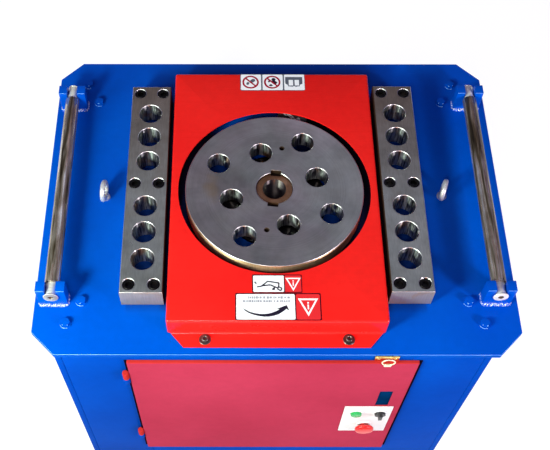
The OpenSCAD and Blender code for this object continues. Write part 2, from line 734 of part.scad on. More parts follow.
module disc_keys() color("saddlebrown") rotate([0, 0, key_turn]) for (s = [-1, 1])
    translate([-key_w / 2 + 0.1, s > 0 ? 31.1 : -41.9, disc_bottom_z + 4.1]) cube([key_w - 0.2, 10.8, 24]);

module disc_profile() {
    r = disc_d / 2;
    polygon([[0, 0], [r - 1, 0], [r, 1], [r, disc_t - 2.5], [r - 2.5, disc_t], [0, disc_t]]);
}
module work_disc() color("dimgray") difference() {
    translate([0, 0, disc_bottom_z]) rotate_extrude($fn = 96) disc_profile();
    translate([0, 0, disc_bottom_z - 1]) cylinder(r = 36, h = disc_t + 2, $fn = round_fn);
    rotate([0, 0, disc_angle]) {
        for (i = [-1 : 1], j = [-1 : 1]) if (i != 0 || j != 0)
            translate([i * disc_pitch, j * disc_pitch, disc_bottom_z - 1])
                cylinder(r = pin_r, h = disc_t + 2, $fn = round_fn);
        for (a = trip_at) rotate([0, 0, a]) translate([trip_r, 0, disc_top_z - 22])
            cylinder(r = 4.25, h = 30, $fn = small_fn);
    }
    rotate([0, 0, key_turn]) for (s = [-1, 1])
        translate([-key_w / 2, s > 0 ? 30 : -42, disc_bottom_z - 1]) cube([key_w, 12, disc_t + 2]);
}

// Pins on the disc's edge that trip the limit switch
module trip_pins() color("silver") for (a = [135.5, 253]) rotate([0, 0, a])
    translate([disc_d / 2, 0, disc_top_z - 28]) rotate([0, 90, 0]) cylinder(r = 4, h = 8, $fn = small_fn);

// ---------------------------------------------------------------- motor

// Cooling fins round the motor's housing
function fin_points(r, depth, n) = [for (i = [0 : n - 1]) each [
    polar(r - depth, 360 / n * (i - 0.22)), polar(r, 360 / n * (i - 0.12)),
    polar(r, 360 / n * (i + 0.12)), polar(r - depth, 360 / n * (i + 0.22))]];

module motor_body() color("steelblue") difference() {
    union() {
        at(motor_at, motor_low + 22) linear_extrude(motor_high - motor_low - 44)
            polygon(fin_points(motor_r, 12, 36));
        for (z = [motor_low, motor_high - 22]) at(motor_at, z) cylinder(r = motor_r + 2, h = 22, $fn = round_fn);
        for (s = [-1, 1]) block([motor_at[0] + 60, motor_at[1] + s * 62 - 12, motor_low + 30],
                                [case_x[0] - 10, motor_at[1] + s * 62 + 12, motor_high - 30]);
    }
    at(motor_at, motor_low + 12) cylinder(r = 63, h = motor_high - motor_low - 24, $fn = round_fn);
    at(motor_at, motor_low - 1) cylinder(r = motor_shaft_r + slip, h = motor_high - motor_low + 2, $fn = round_fn);
}

module motor_shaft() color("silver") {
    at(motor_at, pulley_z - 4) cylinder(r = motor_shaft_r, h = 346, $fn = round_fn);
    at(motor_at, 420) cylinder(r = 62, h = 140, $fn = round_fn);
}

module cooling_fan() color("black") at(motor_at, motor_high + 6) {
    tube_z(24, motor_shaft_r, 20);
    for (k = [0 : 6]) rotate([0, 0, 360 / 7 * k + 20]) translate([22, -1.5, 2]) cube([54, 3, 16]);
}

module fan_cowl() color("steelblue") difference() {
    at(motor_at, motor_high) cylinder(r = motor_r + 1, h = 44, $fn = round_fn);
    at(motor_at, motor_high - 1) cylinder(r = motor_r - 1, h = 43, $fn = round_fn);
    for (r = [22, 42, 62], k = [0 : 7]) at(motor_at, motor_high + 30) rotate([0, 0, 45 * k + r])
        translate([r, 0, 0]) cylinder(r = 5, h = 30, $fn = 16);
}

module terminal_box() color("steelblue") {
    block([motor_at[0] - 45, motor_at[1] - 124, 450], [motor_at[0] + 45, motor_at[1] - motor_r - 0.2, 530]);
    translate([motor_at[0], motor_at[1] - 108, 438]) cylinder(r = 11, h = 13, $fn = 6);
}

module motor_bracket() color("slategray")
    block([case_x[0] - 10, motor_at[1] - 90, motor_low + 10], [case_x[0], motor_at[1] + 90, motor_high - 10]);

// ---------------------------------------------------------------- electrics

// A closed steel box with two contactors and a terminal strip inside
module electrical_box() color("lightgray") {
    x = [cab_right - 130, cab_right - sheet_t];
    y = box_y;
    z = box_z;
    difference() {
        block([x[0], y[0], z[0]], [x[1], y[1], z[1]]);
        block([x[0] + 2, y[0] + 2, z[0] + 2], [x[1] - 2, y[1] - 2, z[1] - 2]);
    }
    for (cy = [0, 70]) block([x[1] - 90, cy, 480], [x[1] - 4, cy + 50, 570]);
    block([x[1] - 50, -30, 390], [x[1] - 4, 170, 420]);
}

// The body, with a pivot pin for the lever on its inner edge
module limit_switch() color("black") rotate([0, 0, switch_angle]) {
    difference() {
        block([switch_r[0], -switch_half, deck_h], [switch_r[1], switch_half, deck_h + 34]);
        block([switch_r[0] - 1, -switch_half - 1, lever_z - 1], [switch_r[0] + 14, switch_half + 1, deck_h + 40]);
    }
    translate([lever_pivot[0], lever_pivot[1], lever_z - 2]) cylinder(r = 3, h = 12, $fn = small_fn);
}

// A sprung lever with a roller, which the trip pins push outwards
module switch_lever() color("white") rotate([0, 0, switch_angle]) {
    reach = lever_tip - lever_pivot;
    difference() {
        union() {
            translate([lever_pivot[0], lever_pivot[1], lever_z]) {
                cylinder(r = 6, h = 8, $fn = small_fn);
                rotate([0, 0, atan2(reach[1], reach[0])]) translate([0, -2.5, 0]) cube([norm(reach), 5, 4]);
            }
            translate([lever_tip[0], lever_tip[1], lever_z]) cylinder(r = lever_roller_r, h = 10, $fn = small_fn);
        }
        translate([lever_pivot[0], lever_pivot[1], lever_z - 1]) cylinder(r = 3 + slip, h = 12, $fn = small_fn);
    }
}

deck_plate();
welded_frame();
side_panels();
back_panel();
front_panels();
bottom_pan();
hasp_plate();
disc_cover();
cover_screws();
left_bar();
right_bar();
bar_screws();
roller_brackets();
roller_axles();
lifting_eyes();
deck_bolts();
gearbox_case();
gearbox_lid();
bearing_bridge();
bearing_cover();
shaft_seal();
bearings();
drive_belts();
motor_bracket();
motor_body();
fan_cowl();
terminal_box();
electrical_box();
limit_switch();
wheel_brackets();
frame_hinges();
work_disc();
main_shaft();
disc_keys();
main_gear();
trip_pins();
final_pinion();
second_gear();
second_pinion();
first_gear();
input_pinion();
driven_pulley();
motor_shaft();
motor_pulley();
cooling_fan();
left_roller();
right_roller();
door_panel();
door_hinges();
padlock_eye();
control_plate();
door_window();
start_button();
estop_button();
selector_knob();
switch_lever();
wheel_front_left();
wheel_front_right();
wheel_back_left();
wheel_back_right();
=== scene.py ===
"""Looks of the rebar bender: rounded sheet metal, machined bars and disc, welds, labels and paint.

Everything is in metres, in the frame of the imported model: +X right, +Y away from the operator, +Z up.
"""

import json
import math
import random

import bmesh
import bpy
from mathutils import Matrix, Vector


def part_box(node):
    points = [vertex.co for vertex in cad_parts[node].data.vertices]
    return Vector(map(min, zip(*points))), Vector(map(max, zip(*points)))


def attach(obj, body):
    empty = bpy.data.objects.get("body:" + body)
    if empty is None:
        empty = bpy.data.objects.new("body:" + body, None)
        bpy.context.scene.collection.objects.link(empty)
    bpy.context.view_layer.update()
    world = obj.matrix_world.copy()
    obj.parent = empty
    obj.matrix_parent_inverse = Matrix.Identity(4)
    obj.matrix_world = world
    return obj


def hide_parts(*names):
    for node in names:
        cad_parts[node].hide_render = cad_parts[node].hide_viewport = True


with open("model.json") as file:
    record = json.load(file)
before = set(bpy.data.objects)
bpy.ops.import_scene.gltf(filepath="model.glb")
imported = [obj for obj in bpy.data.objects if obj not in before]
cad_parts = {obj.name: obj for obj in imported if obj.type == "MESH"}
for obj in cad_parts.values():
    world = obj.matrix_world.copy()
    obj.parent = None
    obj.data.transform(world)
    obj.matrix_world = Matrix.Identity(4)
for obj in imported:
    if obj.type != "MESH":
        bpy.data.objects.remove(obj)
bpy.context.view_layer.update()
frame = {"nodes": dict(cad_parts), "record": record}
NODES = frame["nodes"]
MM = 0.001
scene = bpy.context.scene

# ---------------- driving places, from the frame

deck_low, deck_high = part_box("deck_plate")
DECK_Z = deck_high.z
cover_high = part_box("disc_cover")[1]
disc_low, disc_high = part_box("work_disc")
DISC_R = (disc_high.x - disc_low.x) / 2
door_low, door_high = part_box("door_panel")
MID_Y = (deck_low.y + deck_high.y) / 2
PIN_R = 22.5 * MM
COVER_SCREW_X = (-132.5 * MM, 132.5 * MM)
BAR_HOLES = 53 * MM, 59 * MM  # from the middle of a bar to its first hole, and from hole to hole
HERE = Matrix.Identity(4)


# ---------------- camera, light and stage

def make_camera():
    """Looks down at the deck from the front. The place and lens come from the measured view."""
    data = bpy.data.cameras.new("camera")
    data.lens = 59.56
    data.sensor_width = 36
    data.shift_x = 0.0770
    data.shift_y = 0.0430
    data.clip_end = 50
    camera = bpy.data.objects.new("camera", data)
    camera.location = (-0.0806, -0.9868, DECK_Z + 1.5405)
    camera.rotation_euler = (math.radians(29.69), 0, math.radians(0.08))
    scene.collection.objects.link(camera)
    scene.camera = camera


def area_light(name, offset, size, power, color):
    """A rectangular light that looks at the middle of the deck."""
    data = bpy.data.lights.new(name, "AREA")
    data.shape = "RECTANGLE"
    data.size, data.size_y = size
    data.energy = power
    data.color = color
    light = bpy.data.objects.new(name, data)
    light.location = (offset[0], offset[1], DECK_Z + offset[2])
    aim = Vector((0, 0, DECK_Z)) - light.location
    light.rotation_euler = aim.to_track_quat("-Z", "Y").to_euler()
    scene.collection.objects.link(light)


def make_stage():
    """A pale floor and surroundings that light little, and the lights."""
    mesh = bpy.data.meshes.new("floor")
    reach = 12
    corners = [(x * reach, y * reach, 0) for x, y in ((-1, -1), (1, -1), (1, 1), (-1, 1))]
    mesh.from_pydata(corners, [], [(0, 1, 2, 3)])
    floor = bpy.data.objects.new("floor", mesh)
    scene.collection.objects.link(floor)
    material = bpy.data.materials.new("pale_floor")
    material.use_nodes = True
    shader = material.node_tree.nodes["Principled BSDF"]
    shader.inputs["Base Color"].default_value = (0.25, 0.25, 0.25, 1)
    shader.inputs["Roughness"].default_value = 0.9
    shader.inputs["Emission Color"].default_value = (1, 1, 1, 1)
    shader.inputs["Emission Strength"].default_value = 0.92
    mesh.materials.append(material)
    world = bpy.data.worlds.new("studio")
    world.use_nodes = True
    nodes, links = world.node_tree.nodes, world.node_tree.links
    dim = nodes["Background"]
    dim.inputs["Color"].default_value = (0.45, 0.38, 1.0, 1)
    dim.inputs["Strength"].default_value = 0.15
    pale = nodes.new("ShaderNodeBackground")
    pale.inputs["Color"].default_value = (0.90, 0.91, 0.92, 1)
    choice = nodes.new("ShaderNodeMixShader")
    links.new(nodes.new("ShaderNodeLightPath").outputs["Is Camera Ray"], choice.inputs[0])
    links.new(dim.outputs[0], choice.inputs[1])
    links.new(pale.outputs[0], choice.inputs[2])
    links.new(choice.outputs[0], nodes["World Output"].inputs["Surface"])
    scene.world = world
    scene.view_settings.view_transform = "Standard"
    # name, place over the middle of the deck, size, power, colour
    for light in (("key", (-0.95, -1.0, 0.78), (0.30, 0.30), 22, (0.97, 1.16, 0.98)),
                  ("left_soft", (-2.2, -1.1, 1.2), (1.0, 1.2), 30, (0.95, 1.0, 1.0)),
                  ("right", (1.45, -1.25, 0.60), (0.28, 0.28), 23, (1.05, 0.92, 1.05)),
                  ("front_high", (-0.3, -1.45, 1.75), (0.4, 0.4), 10, (1.0, 0.94, 0.92)),
                  ("top_card", (0.5, 1.25, 2.5), (2.8, 1.0), 3.9, (0.84, 0.94, 1.14)),
                  ("back_card", (0.0, 3.0, 2.4), (3.0, 1.2), 2.4, (1.0, 0.62, 0.36)),
                  ("warm_strip", (0.1, -2.3, 0.7), (0.25, 0.8), 5, (1.0, 0.30, 0.06))):
        area_light(*light)


class Shader:
    """A Principled material and short ways to add procedural nodes to it."""

    def __init__(self, name, color, roughness=0.5, metallic=0.0, gloss=0.5):
        self.name = name
        self.material = bpy.data.materials.new(name)
        self.material.use_nodes = True
        self.tree = self.material.node_tree
        self.bsdf = self.tree.nodes["Principled BSDF"]
        self.set("Base Color", (*color, 1))
        self.set("Roughness", roughness)
        self.set("Metallic", metallic)
        self.set("Specular IOR Level", gloss)
        self.last_normal = None

    def set(self, socket, value):
        self.bsdf.inputs[socket].default_value = value

    def wire(self, value, socket):
        self.tree.links.new(value, self.bsdf.inputs[socket])

    def feed(self, socket, value):
        """Puts a number, a vector or a colour on a node's input, or links another node's output to it."""
        if isinstance(value, (int, float)):
            socket.default_value = value
        elif isinstance(value, tuple):
            socket.default_value = (*value, 1) if socket.type == "RGBA" else value
        else:
            self.tree.links.new(value, socket)

    def node(self, kind, inputs=None, **settings):
        """A new node with its settings, and what goes into its inputs by their names."""
        node = self.tree.nodes.new(kind)
        for key, value in settings.items():
            setattr(node, key, value)
        for key, value in (inputs or {}).items():
            self.feed(node.inputs[key], value)
        return node

    def place(self, scale=(1, 1, 1), turn=(0, 0, 0)):
        """Object coordinates, stretched and turned."""
        here = self.node("ShaderNodeTexCoord").outputs["Object"]
        mapping = self.node("ShaderNodeMapping", {"Vector": here, "Scale": scale, "Rotation": turn})
        return mapping.outputs["Vector"]

    def noise(self, vector, scale, detail=4, roughness=0.55, distortion=0.0):
        inputs = {"Vector": vector, "Scale": scale, "Detail": detail, "Roughness": roughness,
                  "Distortion": distortion}
        return self.node("ShaderNodeTexNoise", inputs).outputs["Fac"]

    def cells(self, vector, scale):
        return self.node("ShaderNodeTexVoronoi", {"Vector": vector, "Scale": scale}).outputs["Distance"]

    def ramp(self, factor, *stops):
        """Stops are (position, colour or grey value)."""
        node = self.node("ShaderNodeValToRGB", {"Fac": factor})
        elements = node.color_ramp.elements
        while len(elements) < len(stops):
            elements.new(0.5)
        for element, (position, value) in zip(elements, stops):
            element.position = position
            color = (value, value, value) if isinstance(value, (int, float)) else value
            element.color = (*color, 1)
        return node.outputs["Color"]

    def mix(self, factor, a, b, blend="MIX"):
        node = self.node("ShaderNodeMix", data_type="RGBA", blend_type=blend)
        for socket, value in zip((s for s in node.inputs if s.type == "RGBA"), (a, b)):
            self.feed(socket, value)
        self.feed(node.inputs["Factor"], factor)
        return next(s for s in node.outputs if s.type == "RGBA")

    def times(self, a, b):
        return self.mix(1.0, a, b, "MULTIPLY")

    def math(self, operation, a, b=0.0):
        node = self.node("ShaderNodeMath", operation=operation)
        for socket, value in zip(node.inputs, (a, b)):
            self.feed(socket, value)
        return node.outputs["Value"]

    def product(self, a, b):
        return self.math("MULTIPLY", a, b)

    def split(self, vector):
        """The first two coordinates of a vector."""
        node = self.node("ShaderNodeSeparateXYZ", {"Vector": vector})
        return node.outputs["X"], node.outputs["Y"]

    def vector(self, x, y=0.0):
        return self.node("ShaderNodeCombineXYZ", {"X": x, "Y": y}).outputs["Vector"]

    def polar(self):
        """Distance from the disc's axis, and the angle round it, as plain numbers."""
        x, y = self.split(self.place())
        squared = self.math("ADD", self.product(x, x), self.product(y, y))
        return self.math("SQRT", squared), self.math("ARCTAN2", y, x)

    def bump(self, height, strength, distance):
        """Relief on top of the relief that is there already."""
        node = self.node("ShaderNodeBump", {"Height": height, "Strength": strength, "Distance": distance})
        if self.last_normal is not None:
            self.feed(node.inputs["Normal"], self.last_normal)
        self.last_normal = node.outputs["Normal"]
        self.wire(self.last_normal, "Normal")


def deck_shade_mask(s, here):
    """Painted shade on the deck, as a mask: round the disc but for a lit sector to the far left, beside and
    under the bars, and behind the cover; darker also in a sector to the far right.
    """
    radius, angle = s.polar()
    edge = s.math("ADD", radius, s.product(s.noise(here, 30, 3, 0.6), 0.008))
    # painted shade in the gap round the disc and on the deck under its rim
    ring = s.ramp(edge, (0.158, 0.5), (0.166, 1.0), (0.240, 1.0), (0.250, 0.0))
    # a sector to the far left is left lit
    bearing = s.product(angle, 1 / math.pi)
    lit_sector = s.ramp(bearing, (0.44, 0.0), (0.53, 0.9), (0.64, 0.9), (0.71, 0.0))
    film = s.product(ring, s.math("SUBTRACT", 0.97, lit_sector))
    # darker in a sector to the far right, from 0.095 m out
    far_right_dark = s.product(s.ramp(edge, (0.095, 0.0), (0.11, 0.9), (0.240, 0.9), (0.250, 0.0)),
                   s.ramp(bearing, (0.2, 0.0), (0.24, 1.0), (0.38, 1.0), (0.42, 0.0)))
    x, y = s.split(here)
    across = s.math("ABSOLUTE", x)
    along = s.math("ABSOLUTE", s.math("SUBTRACT", y, MID_Y))
    # painted shadow in the gap between each bar and the cover, and painted shade on the deck under the bars,
    # seen in their bores
    beside = s.ramp(across, (0.197, 0.0), (0.200, 0.96), (0.213, 0.96), (0.222, 0.6), (0.281, 0.6),
                    (0.286, 0.0))
    beside = s.product(beside, s.ramp(along, (0.236, 1.0), (0.262, 0.0)))
    # painted shadow behind the back of the cover
    behind = s.ramp(s.math("SUBTRACT", y, 0.29), (0.0, 0.75), (0.07, 0.25))
    behind = s.product(behind, s.ramp(across, (0.17, 1.0), (0.27, 0.0)))
    behind = s.product(behind, s.ramp(y, (0.285, 0.0), (0.29, 1.0)))
    return s.math("MAXIMUM", s.math("MAXIMUM", film, far_right_dark), s.math("MAXIMUM", beside, behind))


def enamel(name, dark, base, light, roughness=0.16, peel=0.05, gloss=0.28, shaded_deck=False):
    """Sprayed gloss paint: slow colour drift, orange peel, dust nibs and faint wipe marks; on the deck top,
    painted shade as well.
    """
    s = Shader(name, base, roughness, 0.0, gloss)
    s.set("Specular Tint", tuple(0.03 + 0.97 * c / max(base) for c in base) + (1.0,))
    s.set("Coat Weight", 0.03)
    s.set("Coat Roughness", 0.05)
    here = s.place()
    drift = s.ramp(s.noise(here, 3.5, 3, 0.5), (0.32, dark), (0.52, base), (0.72, light))
    color = s.times(drift, s.ramp(s.noise(here, 60, 3, 0.6), (0.3, 0.93), (0.7, 1.0)))
    if shaded_deck:
        # painted shade, near black, laid on the deck top where the mask says
        color = s.mix(deck_shade_mask(s, here), color, (0.006, 0.004, 0.006))
    s.wire(color, "Base Color")
    wipes = s.noise(s.place((1, 9, 1), (0, 0, 0.6)), 7, 5, 0.6)
    s.wire(s.ramp(wipes, (0.35, roughness), (0.75, roughness + 0.14)), "Roughness")
    s.bump(s.noise(here, 330, 2, 0.5), peel, 0.0006)
    s.bump(s.ramp(s.cells(here, 120), (0.0, 1.0), (0.045, 0.0)), 0.12, 0.0004)
    return s


def machined(name, dark, base, light, roughness, grain, grain_scale, stain=None, metallic=0.75,
             darker_far_end=False):
    """Milled or ground steel: fine lay, cloudy oil film, small stains and scratches."""
    s = Shader(name, base, roughness, metallic)
    here = s.place()
    clouds = s.ramp(s.noise(here, 14, 6, 0.62), (0.3, dark), (0.5, base), (0.72, light))
    lay = s.noise(s.place(grain), grain_scale, 3, 0.6)
    color = s.times(clouds, s.ramp(lay, (0.25, 0.78), (0.75, 1.08)))
    if darker_far_end:
        # lighter and greener at the near end, darker and browner towards the far end
        y = s.split(here)[1]
        along = s.math("ADD", y, s.product(s.noise(here, 20, 4, 0.6), 0.08))
        color = s.times(color, s.ramp(s.math("ADD", along, 0.5), (0.30, (1.12, 1.22, 1.14)),
                                      (0.52, (1.02, 1.08, 1.0)), (0.78, (0.80, 0.69, 0.56))))
    if stain is not None:
        color = s.mix(s.ramp(s.noise(here, 9, 4, 0.5, 0.4), (0.60, 0.0), (0.74, 0.55)), color, stain)
    s.wire(color, "Base Color")
    film = s.noise(here, 38, 5, 0.65)
    s.wire(s.ramp(film, (0.3, roughness - 0.08), (0.7, roughness + 0.12)), "Roughness")
    s.bump(lay, 0.10, 0.0003)
    scratches = s.noise(s.place((2, 60, 2), (0, 0, 0.5)), 6, 2, 0.5)
    s.bump(s.ramp(scratches, (0.66, 0.0), (0.70, 1.0)), 0.05, 0.0002)
    return s


def disc_steel():
    """Faced on a lathe and ground: rings of tool marks, a cloudy film, an old oil stain, and a painted
    reflection that brightens it towards the right.
    """
    s = Shader("disc_steel", (0.3, 0.3, 0.31), 0.38, 0.85)
    radius, angle = s.polar()
    rings = s.noise(s.vector(s.product(radius, 420.0)), 1.0, 2, 0.5)
    broad = s.noise(s.vector(s.product(radius, 38.0), s.product(angle, 0.8)), 1.0, 3, 0.6)
    here = s.place()
    color = s.ramp(s.noise(here, 11, 6, 0.6, 0.3), (0.3, (0.26, 0.24, 0.23)),
                   (0.5, (0.35, 0.325, 0.31)), (0.72, (0.46, 0.43, 0.41)))
    color = s.times(color, s.ramp(rings, (0.2, 0.86), (0.8, 1.06)))
    color = s.times(color, s.ramp(broad, (0.3, 0.88), (0.7, 1.05)))
    tint = s.noise(here, 6, 3, 0.5)
    color = s.times(color, s.ramp(tint, (0.4, (0.92, 1.0, 0.95)), (0.6, (1.03, 0.97, 1.0))))
    # brighter towards the right: painted reflection of bright surroundings
    across = s.split(s.place(turn=(0, 0, -0.46)))[0]
    painted_glare = s.ramp(s.math("ADD", across, 0.5), (0.42, 0.90), (0.50, 0.95), (0.56, 1.12), (0.64, 1.34))
    color = s.times(color, painted_glare)
    stain_at = s.node("ShaderNodeVectorMath", operation="DISTANCE")
    s.feed(stain_at.inputs[0], s.place((1, 0.55, 1)))
    s.feed(stain_at.inputs[1], (-0.125, 0.0, DECK_Z + 0.05))
    near = s.math("ADD", stain_at.outputs["Value"], s.product(s.noise(here, 55, 4, 0.6), 0.03))
    color = s.mix(s.ramp(near, (0.018, 0.45), (0.036, 0.0)), color, (0.34, 0.22, 0.08))
    s.wire(color, "Base Color")
    s.wire(s.ramp(s.noise(here, 26, 5, 0.65), (0.3, 0.30), (0.7, 0.48)), "Roughness")
    s.bump(rings, 0.10, 0.0003)
    s.bump(s.noise(s.place((1, 14, 1), (0, 0, 0.9)), 60, 3, 0.6), 0.12, 0.0003)
    return s


def plain(name, color, roughness, metallic=0.0, scale=90, depth=0.12, vary=0.12, gloss=0.5):
    """Plastic, rubber or casting: a grained surface with small colour and gloss changes."""
    s = Shader(name, color, roughness, metallic, gloss)
    here = s.place()
    low = tuple(c * (1 - vary) for c in color)
    high = tuple(min(1, c * (1 + vary)) for c in color)
    s.wire(s.ramp(s.noise(here, 12, 4, 0.55), (0.3, low), (0.7, high)), "Base Color")
    film = s.noise(here, 30, 4, 0.6)
    s.wire(s.ramp(film, (0.3, max(0.02, roughness - 0.06)), (0.7, roughness + 0.08)), "Roughness")
    s.bump(s.noise(here, scale * 6, 3, 0.6), depth, 0.0005)
    return s


def bored_steel(name, color, tint, metallic=1.0, roughness=0.30, streak=0.3):
    """Bored or sawn steel: tool marks that run level spread each light up and down the wall."""
    s = Shader(name, color, roughness, metallic)
    s.set("Anisotropic", 0.95)
    s.set("Anisotropic Rotation", 0.25)
    s.wire(s.node("ShaderNodeTangent", direction_type="RADIAL", axis="Z").outputs["Tangent"], "Tangent")
    # vertical light and dark stripes in the colour: painted highlight streaks
    streaks = s.noise(s.place((1, 1, 0.05)), 420, 3, 0.6)
    shade = s.ramp(streaks, (0.40, tuple(c * streak for c in color)), (0.60, color))
    # warm patches in the colour: painted reflection of the red cover
    warm = s.ramp(s.noise(s.place(), 22, 3, 0.5, 0.5), (0.56, 0.0), (0.70, 0.8))
    s.wire(s.mix(warm, shade, tint), "Base Color")
    s.bump(streaks, 0.25, 0.0004)
    return s


def roller_steel():
    """Drawn bar with a patchy yellow passivation that has run along its length; its near-black and near-white
    lengthwise bands are partly painted reflection and highlight.
    """
    s = Shader("roller_steel", (0.4, 0.36, 0.28), 0.28, 0.75)
    fine = s.noise(s.place((1, 0.03, 1)), 330, 3, 0.7, 0.1)
    wide = s.noise(s.place((1, 0.05, 1)), 95, 3, 0.6, 0.2)
    patches = s.noise(s.place((1, 0.35, 1)), 40, 5, 0.65)
    # lengthwise bands from near black to near white: passivation, and painted reflection and highlight
    color = s.ramp(wide, (0.34, (0.06, 0.045, 0.025)), (0.43, (0.22, 0.18, 0.11)), (0.50, (0.62, 0.58, 0.48)),
                   (0.56, (0.66, 0.50, 0.42)), (0.63, (1.0, 1.0, 0.96)))
    color = s.times(color, s.ramp(fine, (0.35, (0.55, 0.50, 0.42)), (0.6, (1.0, 1.0, 1.0))))
    color = s.times(color, s.ramp(patches, (0.36, (0.50, 0.46, 0.40)), (0.62, (1.0, 0.98, 1.0))))
    s.wire(color, "Base Color")
    s.wire(s.ramp(wide, (0.35, 0.38), (0.65, 0.16)), "Roughness")
    s.bump(fine, 0.10, 0.0002)
    return s


def weld_paint():
    """Painted weld metal with pale specks: painted glints."""
    s = Shader("weld_paint", (0.02, 0.14, 0.75), 0.2, 0.2)
    here = s.place()
    # pale specks: painted glints
    glints = s.ramp(s.noise(here, 420, 2, 0.6), (0.50, 0.0), (0.56, 1.0))
    s.wire(s.mix(glints, (0.01, 0.12, 0.72), (0.75, 0.78, 0.85)), "Base Color")
    s.wire(s.ramp(glints, (0.0, 0.18), (1.0, 0.25)), "Roughness")
    s.bump(s.noise(here, 260, 3, 0.6), 0.5, 0.001)
    return s


DECK_TINTS = (0.0, 0.072, 0.52), (0.0, 0.088, 0.58), (0.0, 0.104, 0.64)

